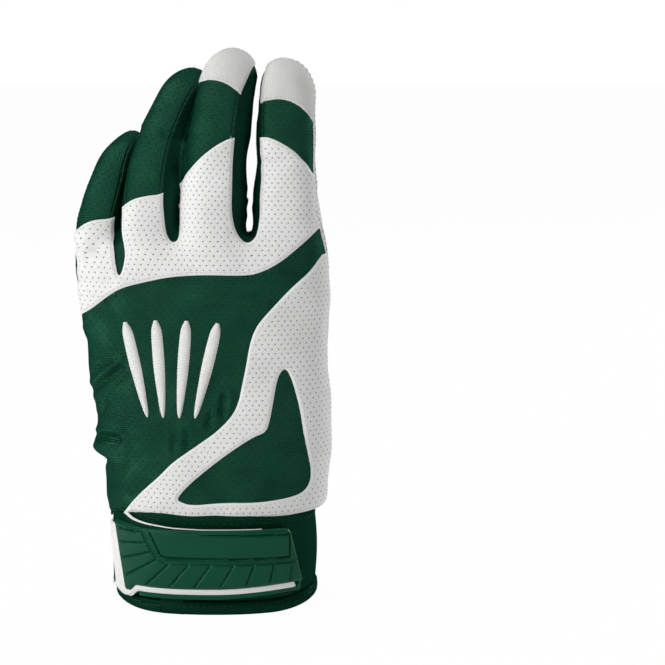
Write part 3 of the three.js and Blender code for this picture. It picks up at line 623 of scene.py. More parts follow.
def on_back(shares, closed=True):
    """An outline on the back, moved to where it shows"""
    return laid(shares, closed) * (1, 1 - BACK_SHRINK) + (BACK_SHIFT, -BACK_DROP)


# The outlines of the sewn pieces as the photograph shows them: the overlays, the window, the white tips, the
# strips between the fingers, the gusset at the thumb and the upper edge of the palm's hide
KNUCKLE_TOP = [
    (0.6, 1), (0.398, 1.0625), (0.35, 1.106), (0.288, 1.14), (0.212, 1.165), (0.17, 1.1675), (0.068, 1.165),
    (0.012, 1.1475), (-0.056, 1.115), (-0.112, 1.08), (-0.142, 1.059), (-0.216, 1.025), (-0.27, 1.0225),
    (-0.332, 1.014), (-0.372, 0.996), (-0.42, 0.9675), (-0.484, 0.965), (-0.528, 0.956), (-0.572, 0.935),
    (-0.7, 0.88),
]
KNUCKLE_LOW = [
    (-0.7, 0.69), (-0.524, 0.7325), (-0.436, 0.77), (-0.372, 0.794), (-0.284, 0.8075), (-0.184, 0.82),
    (-0.072, 0.825), (0.116, 0.8225), (0.172, 0.83), (0.244, 0.8525), (0.316, 0.89), (0.372, 0.9225),
    (0.408, 0.95), (0.6, 0.98),
]
SIDE_OVERLAY = [
    (0.416, 0.8775), (0.372, 0.8375), (0.322, 0.81), (0.28, 0.785), (0.228, 0.75),
    (0.18, 0.7175), (0.148, 0.6875), (0.128, 0.645), (0.118, 0.605), (0.1, 0.55), (0.088, 0.51),
    (0.056, 0.4725), (0, 0.4375), (-0.084, 0.4), (-0.172, 0.3625), (-0.228, 0.326), (-0.292, 0.2925),
    (-0.364, 0.244), (-0.40, 0.2175),
]
WINDOW = [
    (0.264, 0.596), (0.284, 0.585), (0.308, 0.54), (0.332, 0.465), (0.356, 0.385), (0.372, 0.34),
    (0.368, 0.3075), (0.336, 0.2825), (0.264, 0.27), (0.156, 0.2625), (0.016, 0.2625), (-0.1, 0.255),
    (-0.148, 0.265), (-0.156, 0.2725), (-0.112, 0.305), (-0.036, 0.345), (0.056, 0.389), (0.144, 0.425),
    (0.188, 0.435), (0.204, 0.4525), (0.222, 0.5175), (0.24, 0.5725),
]
TIPS = {
    "index": [(0.15, 1.25), (0.2, 1.2575), (0.24, 1.261), (0.296, 1.255), (0.35, 1.231), (0.38, 1.205),
              (0.5, 1.13), (0.5, 1.6), (0.15, 1.6)],
    "middle": [(-0.3, 1.3), (-0.056, 1.305), (-0.024, 1.3075), (0.032, 1.3), (0.092, 1.2725), (0.15, 1.24),
               (0.15, 1.6), (-0.3, 1.6)],
}
SLOTS = {
    "index_middle": [
        (0.152, 1.365), (0.116, 1.3075), (0.092, 1.2725), (0.076, 1.2), (0.064, 1.1075), (0.06, 1.0075),
        (0.068, 0.95), (0.088, 0.9175), (0.122, 0.9), (0.154, 0.915), (0.164, 0.935), (0.172, 1.0075),
        (0.172, 1.1575), (0.17, 1.2575), (0.18, 1.3125), (0.196, 1.3475), (0.175, 1.39),
    ],
    "middle_ring": [
        (-0.078, 1.295), (-0.09, 1.27), (-0.124, 1.2), (-0.152, 1.1325), (-0.152, 1.02), (-0.144, 0.9175),
        (-0.172, 0.9025), (-0.196, 0.9225), (-0.204, 0.95), (-0.216, 1.025), (-0.188, 1.15), (-0.146, 1.2225),
        (-0.104, 1.285), (-0.09, 1.3),
    ],
    "ring_pinky": [
        (-0.31, 1.2), (-0.352, 1.1325), (-0.372, 1.08), (-0.372, 0.9325), (-0.358, 0.8825),
        (-0.364, 0.8475), (-0.38, 0.8175), (-0.396, 0.8425), (-0.408, 0.895), (-0.42, 0.9675),
        (-0.38, 1.0625), (-0.364, 1.1275), (-0.322, 1.195),
    ],
}
GUSSET = [
    (0.7, 0.76), (0.448, 0.715), (0.384, 0.6125), (0.336, 0.5125), (0.336, 0.4825), (0.384, 0.4225),
    (0.432, 0.3625), (0.42, 0.31), (0.39, 0.2525), (0.38, 0.1), (0.7, 0.1),
]
PALM_TOP = [(0.6, 0.93), (0.5, 0.94), (0.14, 0.985), (-0.128, 0.975), (-0.36, 0.865), (-0.66, 0.79),
            (-0.8, 0.76)]
SEAM = {"back": -0.1, "front": 0.45, "thumb side": -0.3, "little side": 0.35}  # as shares of the half depth
# The strip between the first two fingers turns on to the middle finger's back near its tip
TIP_TURN = {"share": 0.7, "across": (-3, -6), "up": (1.27, 1.31)}


def corners(*shares):
    """Far corners that close an outline outside the glove"""
    return np.array([(x * HAND["width"], z * WEB_HEIGHT) for x, z in shares])


def skin_fields(points):
    """How far each point of the skin lies inside each piece's outline and on its side of the seams"""
    back, palm = back_view(points), palm_view(points)
    level = points[:, [0, 2]]
    knuckle_low = on_back(KNUCKLE_LOW, closed=False)
    knuckles = np.concatenate([on_back(KNUCKLE_TOP, closed=False), knuckle_low])
    above = np.concatenate([knuckle_low, corners((2, 0.98), (2, 3), (-2, 3), (-2, 0.69))])
    side = np.concatenate([corners((0.7, 0.96)), on_back(SIDE_OVERLAY, closed=False),
                           corners((-0.5, 0.1), (0.7, 0.1))])
    palm_piece = np.concatenate([laid(PALM_TOP, closed=False),
                                 corners((-2, 0.7), (-2, -1), (2, -1), (2, 0.9))])
    middle = FINGERS["middle"]
    aside = points[:, 0] - finger_line(middle, points[:, 2])[:, 0]
    turned = smooth(*TIP_TURN["across"], aside) * (aside > -middle["width"] * 0.6)
    turned = turned * smooth(*TIP_TURN["up"], points[:, 2] / WEB_HEIGHT)
    back_seam = seam_depth(points, SEAM["back"], SEAM["thumb side"])
    back_seam = back_seam + TIP_TURN["share"] * middle["depth"] / 2 * turned
    front_seam = seam_depth(points, SEAM["front"], SEAM["thumb side"], SEAM["little side"])
    front_seam = np.maximum(front_seam, back_seam)
    fields = {
        "back": back_seam - points[:, 1],
        "palm": points[:, 1] - front_seam,
        "knuckles": inside_distance(back, knuckles),
        "above": inside_distance(back, above),
        "side": inside_distance(back, side),
        "window": inside_distance(back, on_back(WINDOW)),
        "slots": np.maximum.reduce([inside_distance(back, on_back(slot)) for slot in SLOTS.values()]),
        "gusset": inside_distance(palm, laid(GUSSET)),
        "palm_piece": inside_distance(level, palm_piece),
    }
    for name, slot in SLOTS.items():
        fields[name + "_slot"] = inside_distance(back, on_back(slot))
    for name, tip in TIPS.items():
        fields[name + "_tip"] = inside_distance(back, on_back(tip))
    lines = [finger_line(f, points[:, 2])[:, 0] for f in DIGITS]
    away = np.stack([digit_distance(f, points) for f in DIGITS])
    for i, name in enumerate(FINGERS):
        fields[name] = (np.delete(away, i, 0).min(0) - away[i]) / 2
    for i, name in enumerate(SLOTS):
        fields[name] = np.minimum(lines[i] - points[:, 0], points[:, 0] - lines[i + 1])
    outer = np.interp(points[:, 2], [0, 80, 130], [0, 0, 1])
    fields["little_side"] = outer * lines[3] - points[:, 0]
    return fields


def skin_cloth(points, side):
    """Where the cloth's pattern lies on the hand and fingers, in millimetres across and along"""
    _, half_x, half_y = hand_place(points)
    across = arc_from_middle(points[:, 0], points[:, 1], half_x, half_y, side)
    along = points[:, 2].copy()
    distances = np.stack([digit_distance(f, points) for f in DIGITS])
    nearest = distances.argmin(0)
    ease = smooth(*WEB_BLEND, points[:, 2])
    for i, f in enumerate(DIGITS):
        own = nearest == i
        share, past, x, y = digit_place(f, points[own])
        own_half_x, own_half_y = digit_halves(f, share)
        swell = round_radius(x, y, own_half_x, own_half_y)
        round_it = f["x"] + swell * arc_from_middle(x, y, own_half_x, own_half_y, side)
        length = f["z"] + f["rise"] * share * (1 + 0.12 * share) + past
        across[own] += ease[own] * (round_it - across[own])
        along[own] += ease[own] * (length - along[own])
    return np.stack([across, along], 1)


# Cutting panels out of the skin
def clipped(data, faces, column):
    """The part of the triangles where a column of the points' data is above zero, cut cleanly along it"""
    value = data[:, column]
    above = value >= 0
    count = above[faces].sum(1)
    whole = faces[count == 3]
    one, two = faces[count == 1], faces[count == 2]
    turn_one = above[one].argmax(1)
    turn_two = (~above[two]).argmax(1)
    one = np.stack([one[np.arange(len(one)), (turn_one + i) % 3] for i in range(3)], 1)
    two = np.stack([two[np.arange(len(two)), (turn_two + i) % 3] for i in range(3)], 1)
    ends = np.concatenate([one[:, [0, 1]], one[:, [0, 2]], two[:, [0, 1]], two[:, [0, 2]]])
    ends.sort(1)
    edges, index = np.unique(ends, axis=0, return_inverse=True)
    index = index.ravel() + len(data)
    a, b = edges.T
    share = (value[a] / (value[a] - value[b]))[:, None]
    made = data[a] + share * (data[b] - data[a])
    made[:, column] = 0
    n, m = len(one), len(two)
    first, second, third, fourth = index[:n], index[n:2 * n], index[2 * n:2 * n + m], index[2 * n + m:]
    faces = np.concatenate([
        whole, np.stack([one[:, 0], first, second], 1), np.stack([third, two[:, 1], two[:, 2]], 1),
        np.stack([third, two[:, 2], fourth], 1)])
    used, faces = np.unique(faces, return_inverse=True)
    return np.concatenate([data, made])[used], faces.reshape(-1, 3)


def main_islands(faces, count):
    """The faces that hang together in pieces of more than a twentieth of the whole"""
    group = np.arange(count)
    while True:
        least = group[faces].min(1)
        lower = group.copy()
        for i in range(3):
            np.minimum.at(lower, faces[:, i], least)
        lower = lower[lower]
        if (lower == group).all():
            break
        group = lower
    label, size = np.unique(group[faces[:, 0]], return_counts=True)
    return faces[np.isin(group[faces[:, 0]], label[size > len(faces) / 20])]


POSITION, NORMAL, CLOTH = slice(0, 3), slice(3, 6), slice(6, 8)
# How far a panel reaches past the line of its edge: not at all where it lies over its neighbour, a little in
# a seam, and well past it where it runs under its neighbour
REACH_PAST = {"over": 0.0, "seam": 0.12, "under": 1.8}
RIM = 0.55  # the width of the band along an edge that is cut out apart, so that the rounding there is even


class Skin:
    """The skin's points with their normals and their places on the cloth, seen from the back or the palm"""

    def __init__(self, points, faces, cloths):
        self.points = points
        self.faces = faces
        self.cloths = cloths
        self.normals = corner_normals(points, faces)

    def cut(self, edges, side):
        """The panel inside a list of edges, each a field that is above zero inside and the edge's kind"""
        reached = [field + REACH_PAST[kind] for field, kind in edges]
        shown = [field for field, kind in edges if kind != "under"]
        edge = np.minimum.reduce(shown) if shown else np.full(len(self.points), 9.0)
        data = np.column_stack([self.points, self.normals, self.cloths[side], *reached, edge, edge - RIM])
        faces = self.faces
        for i in range(len(reached)):
            data, faces = clipped(data, faces, CLOTH.stop + i)
        faces = main_islands(faces, len(data))
        used, faces = np.unique(faces, return_inverse=True)
        data, faces = data[used], faces.reshape(-1, 3)
        inner, inner_faces = clipped(data, faces, data.shape[1] - 1)
        data[:, -1] *= -1
        rim, rim_faces = clipped(data, faces, data.shape[1] - 1)
        return np.concatenate([inner, rim]), np.concatenate([inner_faces, rim_faces + len(inner)])


# Finishes. Patterns are in millimetres, with the pitch and half size of what is repeated. Those of the knits,
# threads, tapes and the pressed leathers are drawn coarser than real, or they wouldn't show
HOLES = {"pitch": (2.5, 1.82), "half": (0.24, 0.26), "dimple": (0.62, 0.62), "clear of edge": 1.5}
CHECK = {"pitch": (1.5, 0.85), "half": (0.7, 0.38), "turn": math.radians(38)}
DASHES = {"pitch": (2.0, 1.55), "half": (0.68, 0.36), "pinprick": (0.38, 0.2), "wander": (6, 10, 0)}
EYELETS = {"pitch": (3.0, 1.75), "half": (0.24, 0.42)}
SEWN_GROOVE = {"inward": 1.25, "half": (0.4, 0.4)}
SATIN_PLY = 0.62


def staggered(tree, spot, across, along):
    """The place inside a cell of a pattern, from the cell's middle, with every other row moved by half"""
    scaled = add_node(tree, "ShaderNodeVectorMath", {0: spot, 1: (1 / across, 1 / along, 0)},
                      operation="MULTIPLY")
    split = add_node(tree, "ShaderNodeSeparateXYZ", {0: scaled}).node
    row = add_node(tree, "ShaderNodeMath", {0: split.outputs["Y"]}, operation="FLOOR")
    moved = add_node(tree, "ShaderNodeMath", {0: row, 1: 0.5, 2: split.outputs["X"]},
                     operation="MULTIPLY_ADD")
    both = add_node(tree, "ShaderNodeCombineXYZ", {"X": moved, "Y": split.outputs["Y"]})
    cell = add_node(tree, "ShaderNodeVectorMath", {0: both}, operation="FRACTION")
    centred = add_node(tree, "ShaderNodeVectorMath", {0: cell, 1: (0.5, 0.5, 0)}, operation="SUBTRACT")
    return add_node(tree, "ShaderNodeVectorMath", {0: centred, 1: (across, along, 0)}, operation="MULTIPLY")


def dot(tree, cell, half_x, half_y, softness):
    """1 inside an ellipse at the middle of a cell and 0 outside it"""
    scaled = add_node(tree, "ShaderNodeVectorMath", {0: cell, 1: (1 / half_x, 1 / half_y, 0)},
                      operation="MULTIPLY")
    radius = add_node(tree, "ShaderNodeVectorMath", {0: scaled}, output="Value", operation="LENGTH")
    return add_node(tree, "ShaderNodeMapRange", {
        0: radius, 1: 1 - softness, 2: 1 + softness, 3: 1.0, 4: 0.0}, interpolation_type="SMOOTHSTEP")


def waves(tree, value, pitch):
    """0 to 1 and back over each pitch in millimetres"""
    phase = add_node(tree, "ShaderNodeMath", {0: value, 1: 2 * math.pi / pitch}, operation="MULTIPLY")
    wave = add_node(tree, "ShaderNodeMath", {0: phase}, operation="SINE")
    return add_node(tree, "ShaderNodeMapRange", {0: wave, 1: -1.0, 2: 1.0})


def new_material(name):
    material = bpy.data.materials.new(name)
    material.use_nodes = True
    material.node_tree.nodes.clear()
    return material, material.node_tree


def mottled(tree, spot, dark, light, size):
    """A colour that drifts between two shades over a length in millimetres"""
    noise = add_node(tree, "ShaderNodeTexNoise", {"Vector": spot, "Scale": 1 / size, "Detail": 3.0})
    return add_node(tree, "ShaderNodeMix", {"Factor": noise, "A": srgb(dark), "B": srgb(light)}, 2,
                    data_type="RGBA")


def finish_surface(tree, colour, height, depth, satin=None, **settings):
    """The surface with a relief: height from 0 to 1, times a depth in millimetres. Satin is the colour of a
    broad reflection without a white rim, as filaments give it"""
    bump = add_node(tree, "ShaderNodeBump", {"Height": height, "Distance": depth * MM, "Strength": 1.0})
    inputs = {"Base Color": colour, "Normal": bump}
    for name, value in settings.items():
        inputs[name.replace("_", " ").title().replace("Ior", "IOR")] = value
    shader = add_node(tree, "ShaderNodeBsdfPrincipled", inputs)
    if satin:
        gloss = add_node(tree, "ShaderNodeBsdfAnisotropic", {
            "Color": satin, "Roughness": 0.4, "Normal": bump})
        shader = add_node(tree, "ShaderNodeAddShader", {0: shader, 1: gloss})
    add_node(tree, "ShaderNodeOutputMaterial", {"Surface": shader})


def perforated_leather():
    """Coated microfibre leather, punched with small holes in staggered rows that stop short of each edge: a
    white matt face with a fine grain, where each hole is painted as a small grey dot for the shade inside it"""
    material, tree = new_material("perforated synthetic leather")
    spot = add_node(tree, "ShaderNodeUVMap", uv_map="cloth")
    edge = add_node(tree, "ShaderNodeUVMap", uv_map="edge")
    inward = add_node(tree, "ShaderNodeSeparateXYZ", {0: edge}, "X")
    clear = HOLES["clear of edge"]
    punched = add_node(tree, "ShaderNodeMapRange", {0: inward, 1: clear, 2: clear + 0.4})
    cell = staggered(tree, spot, *HOLES["pitch"])
    hole = dot(tree, cell, *HOLES["half"], 0.4)
    hole = add_node(tree, "ShaderNodeMath", {0: hole, 1: punched}, operation="MULTIPLY")
    dimple = dot(tree, cell, *HOLES["dimple"], 0.6)
    dimple = add_node(tree, "ShaderNodeMath", {0: dimple, 1: punched}, operation="MULTIPLY")
    base = mottled(tree, spot, "#dfdfde", "#e8e8e7", 26)
    # Painted shade: each hole is painted grey, as the shade inside it
    colour = add_node(tree, "ShaderNodeMix", {"Factor": hole, "A": base, "B": srgb("#6d7071")}, 2,
                      data_type="RGBA")
    grain = add_node(tree, "ShaderNodeTexNoise", {"Vector": spot, "Scale": 1.4, "Detail": 4.0})
    height = add_node(tree, "ShaderNodeMath", {0: grain, 1: 0.22, 2: 0.5}, operation="MULTIPLY_ADD")
    height = add_node(tree, "ShaderNodeMath", {0: hole, 1: -0.5, 2: height}, operation="MULTIPLY_ADD")
    height = add_node(tree, "ShaderNodeMath", {0: dimple, 1: -0.22, 2: height}, operation="MULTIPLY_ADD")
    finish_surface(tree, colour, height, 0.3, roughness=0.52, specular_ior_level=0.3)
    return material


def tip_leather():
    """Coated microfibre leather pressed with a fine check: matt and a little greyer than the overlays, with
    the grooves between the raised pads painted darker as shade
    """
    material, tree = new_material("checked synthetic leather")
    spot = add_node(tree, "ShaderNodeUVMap", uv_map="cloth")
    turned = add_node(tree, "ShaderNodeMapping", {"Vector": spot, "Rotation": (0, 0, CHECK["turn"])})
    pad = dot(tree, staggered(tree, turned, *CHECK["pitch"]), *CHECK["half"], 0.5)
    base = mottled(tree, spot, "#d2d2d1", "#dcdcdb", 14)
    # Painted shade: the grooves between the raised pads of the check are darker
    colour = add_node(tree, "ShaderNodeMix", {"Factor": pad, "A": srgb("#c6c6c5"), "B": base}, 2,
                      data_type="RGBA")
    finish_surface(tree, colour, pad, 0.1, roughness=0.55, specular_ior_level=0.3)
    return material


def palm_hide():
    """Sheepskin pressed with rows of short dashes that wander with the hide: pale grey, with a painted
    highlight on the raised dashes and faint pinpricks between them painted darker as shade"""
    material, tree = new_material("embossed palm leather")
    spot = add_node(tree, "ShaderNodeUVMap", uv_map="cloth")
    wander = add_node(tree, "ShaderNodeTexNoise", {"Vector": spot, "Scale": 1 / 30, "Detail": 1.0}, "Color")
    pushed = add_node(tree, "ShaderNodeVectorMath", {0: wander, 1: (0.5, 0.5, 0.5)}, operation="SUBTRACT")
    pushed = add_node(tree, "ShaderNodeVectorMath", {0: pushed, 1: DASHES["wander"]}, operation="MULTIPLY")
    flowing = add_node(tree, "ShaderNodeVectorMath", {0: spot, 1: pushed}, operation="ADD")
    dash = dot(tree, staggered(tree, flowing, *DASHES["pitch"]), *DASHES["half"], 0.6)
    between = add_node(tree, "ShaderNodeVectorMath", {0: flowing, 1: (0.85, 0.45, 0)}, operation="ADD")
    pit = dot(tree, staggered(tree, between, *DASHES["pitch"]), *DASHES["pinprick"], 0.7)
    fine = add_node(tree, "ShaderNodeTexNoise", {"Vector": spot, "Scale": 1.9, "Detail": 4.0})
    base = mottled(tree, spot, "#d8d7d5", "#e1e0df", 30)
    # Painted highlight: the raised dashes are painted lighter, as the gloss on them
    dash_highlight = add_node(tree, "ShaderNodeMath", {0: dash, 1: fine}, operation="MULTIPLY")
    colour = add_node(tree, "ShaderNodeMix", {"Factor": dash_highlight, "A": base, "B": srgb("#f8f7f6")}, 2,
                      data_type="RGBA")
    # Painted shade: the sunken pinpricks are painted darker
    share = add_node(tree, "ShaderNodeMath", {0: pit, 1: 0.5}, operation="MULTIPLY")
    colour = add_node(tree, "ShaderNodeMix", {"Factor": share, "A": colour, "B": srgb("#7f7e7c")}, 2,
                      data_type="RGBA")
    height = add_node(tree, "ShaderNodeMath", {0: fine, 1: 0.6, 2: dash}, operation="MULTIPLY_ADD")
    height = add_node(tree, "ShaderNodeMath", {0: pit, 1: -0.5, 2: height}, operation="MULTIPLY_ADD")
    finish_surface(tree, colour, height, 0.17, roughness=0.5, specular_ior_level=0.35)
    return material


SATIN_TINT = (0.29, 1, 0.68)  # how a green filament colours the light that it reflects


def knitted(name, dark, light, row, eyelets, relief, gloss):
    """Warp-knitted polyester: fine ribs across the cloth, and a green satin sheen in raking light. The
    breathing kind has rows of small eyelets, and edges folded over and sewn down along a groove. The valleys
    between the ribs, the eyelets and the groove are painted darker as shade"""
    material, tree = new_material(name)
    spot = add_node(tree, "ShaderNodeUVMap", uv_map="cloth")
    sway = add_node(tree, "ShaderNodeTexNoise", {"Vector": spot, "Scale": 1 / 9, "Detail": 1.0}, "Color")
    swayed = add_node(tree, "ShaderNodeVectorMath", {0: sway, 1: (0, 0.9, 0), 2: spot},
                      operation="MULTIPLY_ADD")
    along = add_node(tree, "ShaderNodeSeparateXYZ", {0: swayed}, "Y")
    rib = waves(tree, along, row)
    loops = dot(tree, staggered(tree, spot, 1.0, row), 0.46, row * 0.46, 0.5)
    base = mottled(tree, spot, dark, light, 18)
    # Painted shade: the valleys between the ribs are painted towards the dark colour
    shade = add_node(tree, "ShaderNodeMix", {"Factor": rib, "A": srgb(dark), "B": base}, 2, data_type="RGBA")
    height = add_node(tree, "ShaderNodeMath", {0: rib, 1: 0.6, 2: 0.2}, operation="MULTIPLY_ADD")
    height = add_node(tree, "ShaderNodeMath", {0: loops, 1: 0.4, 2: height}, operation="MULTIPLY_ADD")
    if eyelets:
        hole = dot(tree, staggered(tree, spot, *EYELETS["pitch"]), *EYELETS["half"], 0.4)
        share = add_node(tree, "ShaderNodeMath", {0: hole, 1: 0.5}, operation="MULTIPLY")
        # Painted shade: each eyelet is painted near black, as the shade inside it
        shade = add_node(tree, "ShaderNodeMix", {"Factor": share, "A": shade, "B": srgb("#02120c")}, 2,
                         data_type="RGBA")
        height = add_node(tree, "ShaderNodeMath", {0: hole, 1: -0.8, 2: height}, operation="MULTIPLY_ADD")
        edge = add_node(tree, "ShaderNodeUVMap", uv_map="edge")
        inward = SEWN_GROOVE["inward"]
        fold = add_node(tree, "ShaderNodeVectorMath", {0: edge, 1: (inward, inward, 0)}, operation="SUBTRACT")
        fold = dot(tree, fold, *SEWN_GROOVE["half"], 0.8)
        share = add_node(tree, "ShaderNodeMath", {0: fold, 1: 0.7}, operation="MULTIPLY")
        # Painted shade: the sewn groove along each folded edge is painted darker
        shade = add_node(tree, "ShaderNodeMix", {"Factor": share, "A": shade, "B": srgb("#02170f")}, 2,
                         data_type="RGBA")
        height = add_node(tree, "ShaderNodeMath", {0: fold, 1: -1.5, 2: height}, operation="MULTIPLY_ADD")
    satin = [gloss * share for share in SATIN_TINT] + [1]
    finish_surface(tree, shade, height, relief, satin, roughness=0.6, specular_ior_level=0.0)
    return material


def brushed_lining():
    """Brushed tricot, on the inside of the cloth: dull, with the soft pale edge of its nap"""
    material, tree = new_material("brushed tricot lining")
    spot = add_node(tree, "ShaderNodeUVMap", uv_map="cloth")
    nap = add_node(tree, "ShaderNodeTexNoise", {"Vector": spot, "Scale": 2.0, "Detail": 5.0})
    base = mottled(tree, spot, "#2c3733", "#3c4843", 6)
    finish_surface(tree, base, nap, 0.2, roughness=0.95, specular_ior_level=0.15, sheen_weight=0.2,
                   sheen_roughness=0.6, sheen_tint=srgb("#aab8b2"))
    return material


def satin_thread():
    """Rayon satin stitch, laid side by side across each bar: bright, with the sheen of parallel threads; each
    thread is painted lighter along its raised crown as a highlight and darker between threads as shade
    """
    material, tree = new_material("white satin thread")
    spot = add_node(tree, "ShaderNodeUVMap", uv_map="cloth")
    along = add_node(tree, "ShaderNodeSeparateXYZ", {0: spot}, "Y")
    uneven = add_node(tree, "ShaderNodeTexNoise", {"Vector": spot, "Scale": 0.7, "Detail": 2.0})
    moved = add_node(tree, "ShaderNodeMath", {0: uneven, 1: 0.5, 2: along}, operation="MULTIPLY_ADD")
    ply = waves(tree, moved, SATIN_PLY)
    # Painted highlight and shade: each ply is lighter on its raised crown and darker where it sinks between
    # threads
    colour = add_node(tree, "ShaderNodeMix", {"Factor": ply, "A": srgb("#dcdcda"), "B": srgb("#f6f6f4")}, 2,
                      data_type="RGBA")
    finish_surface(tree, colour, ply, 0.14, roughness=0.38, specular_ior_level=0.5, sheen_weight=0.2,
                   anisotropic=0.5)
    return material


def sewing_thread(name, dark, light):
    """Bonded polyester sewing thread: a fine twist with a slight gloss"""
    material, tree = new_material(name)
    spot = add_node(tree, "ShaderNodeTexCoord", output="Object")
    twist = add_node(tree, "ShaderNodeTexNoise", {"Vector": spot, "Scale": 2500.0, "Detail": 1.0})
    colour = add_node(tree, "ShaderNodeMix", {"Factor": twist, "A": srgb(dark), "B": srgb(light)}, 2,
                      data_type="RGBA")
    finish_surface(tree, colour, twist, 0.08, roughness=0.5, specular_ior_level=0.2)
    return material


def moulded_rubber(name, dark, light, roughness, gloss, tint):
    """Injection-moulded thermoplastic rubber: an even face with the fine grit of its mould and a low gloss"""
    material, tree = new_material(name)
    spot = add_node(tree, "ShaderNodeTexCoord", output="Object")
    grit = add_node(tree, "ShaderNodeTexNoise", {"Vector": spot, "Scale": 1800.0, "Detail": 3.0})
    drift = add_node(tree, "ShaderNodeTexNoise", {"Vector": spot, "Scale": 60.0, "Detail": 2.0})
    colour = add_node(tree, "ShaderNodeMix", {"Factor": drift, "A": srgb(dark), "B": srgb(light)}, 2,
                      data_type="RGBA")
    finish_surface(tree, colour, grit, 0.03, roughness=roughness, specular_ior_level=gloss,
                   specular_tint=srgb(tint))
    return material


def pile_tape(name, dark, light, size):
    """Woven nylon fastening tape: a tufted ground with the shade of the hooks or loops that stand on it"""
    material, tree = new_material(name)
    spot = add_node(tree, "ShaderNodeTexCoord", output="Object")
    tuft = add_node(tree, "ShaderNodeTexVoronoi", {"Vector": spot, "Scale": 1 / (size * MM)})
    colour = add_node(tree, "ShaderNodeMix", {"Factor": tuft, "A": srgb(light), "B": srgb(dark)}, 2,
                      data_type="RGBA")
    finish_surface(tree, colour, tuft, 0.1, roughness=0.55, specular_ior_level=0.3)
    return material


FINISH = {
    "overlay": perforated_leather(),
    "tip": tip_leather(),
    "palm": palm_hide(),
    "mesh": knitted("dotted warp-knit mesh", "#022116", "#064a34", 0.72, True, 0.26, 0.042),
    "stretch": knitted("smooth elastane knit", "#022015", "#053224", 0.6, False, 0.07, 0.02),
    "cuff": knitted("ribbed neoprene knit", "#032518", "#063a28", 0.8, False, 0.13, 0.012),
    "lining": brushed_lining(),
    "satin": satin_thread(),
    # Painted shade: the white thread is given greys darker than its white, as the shade on and round its
    # stitches
    "white_thread": sewing_thread("white sewing thread", "#aeaead", "#d8d8d6"),
    "grey_thread": sewing_thread("grey sewing thread", "#8f8f8d", "#b9b9b7"),
    "green_thread": sewing_thread("green sewing thread", "#06301f", "#0f4a35"),
    "rubber": moulded_rubber("moulded thermoplastic rubber", "#073825", "#0a422e", 0.45, 0.4, "#93fed4"),
    "trim": moulded_rubber("white moulded rubber", "#e0e0df", "#e6e6e5", 0.45, 0.12, "#ffffff"),
    "hooks": pile_tape("nylon hook tape", "#06231a", "#1a4a37", 0.9),
    "loops": pile_tape("nylon loop tape", "#0a2c20", "#245640", 0.7),
}


# Meshes
def make_mesh(name, points, faces, layers, materials=(), weld=True):
    """A mesh in the frame. layers holds, by the name of its map, a pair of values for each point"""
    mesh = bpy.data.meshes.new(name)
    places = points * MM + origin
    mesh.from_pydata(places.tolist(), [], [list(map(int, f)) for f in faces])
    corner = np.zeros(len(mesh.loops), np.int32)
    mesh.loops.foreach_get("vertex_index", corner)
    for label, values in layers.items():
        layer = mesh.uv_layers.new(name=label)
        layer.data.foreach_set("uv", values[corner].astype(np.float32).ravel())
    for material in materials:
        mesh.materials.append(FINISH[material])
    if weld:
        shape = bmesh.new()
        shape.from_mesh(mesh)
        bmesh.ops.remove_doubles(shape, verts=shape.verts, dist=0.00001)
        shape.to_mesh(mesh)
        shape.free()
    obj = bpy.data.objects.new(name, mesh)
    bpy.context.scene.collection.objects.link(obj)
    return obj


def baked(obj):
    """Makes the object's modifiers plain mesh"""
    graph = bpy.context.evaluated_depsgraph_get()
    mesh = bpy.data.meshes.new_from_object(obj.evaluated_get(graph))
    obj.modifiers.clear()
    obj.data = mesh


def thickened(obj, thickness):
    """Gives a sheet its thickness inwards, with its second material, the lining, on the inner side"""
    wall = obj.modifiers.new("wall", "SOLIDIFY")
    wall.thickness = thickness * MM
    wall.offset = -1
    wall.material_offset = 1
    baked(obj)


def softly_shaded(obj, angle):
    obj.data.shade_smooth()
    obj.data.set_sharp_from_angle(angle=math.radians(angle))


def fitted(obj, body, slot, *nodes):
    """Hangs a finished piece on its body and has it stand for the CAD nodes"""
    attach(obj, body)
    if nodes:
        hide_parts(*nodes)


# Sewing
def new_tree(name, *sizes):
    """A Geometry Nodes tree with named inputs for its sizes and finish. Returns the tree and its inputs"""
    tree = bpy.data.node_groups.new(name, "GeometryNodeTree")
    tree.interface.new_socket("Geometry", in_out="INPUT", socket_type="NodeSocketGeometry")
    for label in sizes:
        tree.interface.new_socket(label, in_out="INPUT", socket_type="NodeSocketFloat")
    tree.interface.new_socket("Finish", in_out="INPUT", socket_type="NodeSocketMaterial")
    tree.interface.new_socket("Geometry", in_out="OUTPUT", socket_type="NodeSocketGeometry")
    return tree, tree.nodes.new("NodeGroupInput").outputs


def end_tree(tree, placed, finish):
    """Makes the placed copies real mesh with their finish, as the tree's result"""
    real = add_node(tree, "GeometryNodeRealizeInstances", {"Geometry": placed})
    coloured = add_node(tree, "GeometryNodeSetMaterial", {"Geometry": real, "Material": finish})
    add_node(tree, "NodeGroupOutput", {"Geometry": coloured})
    return tree


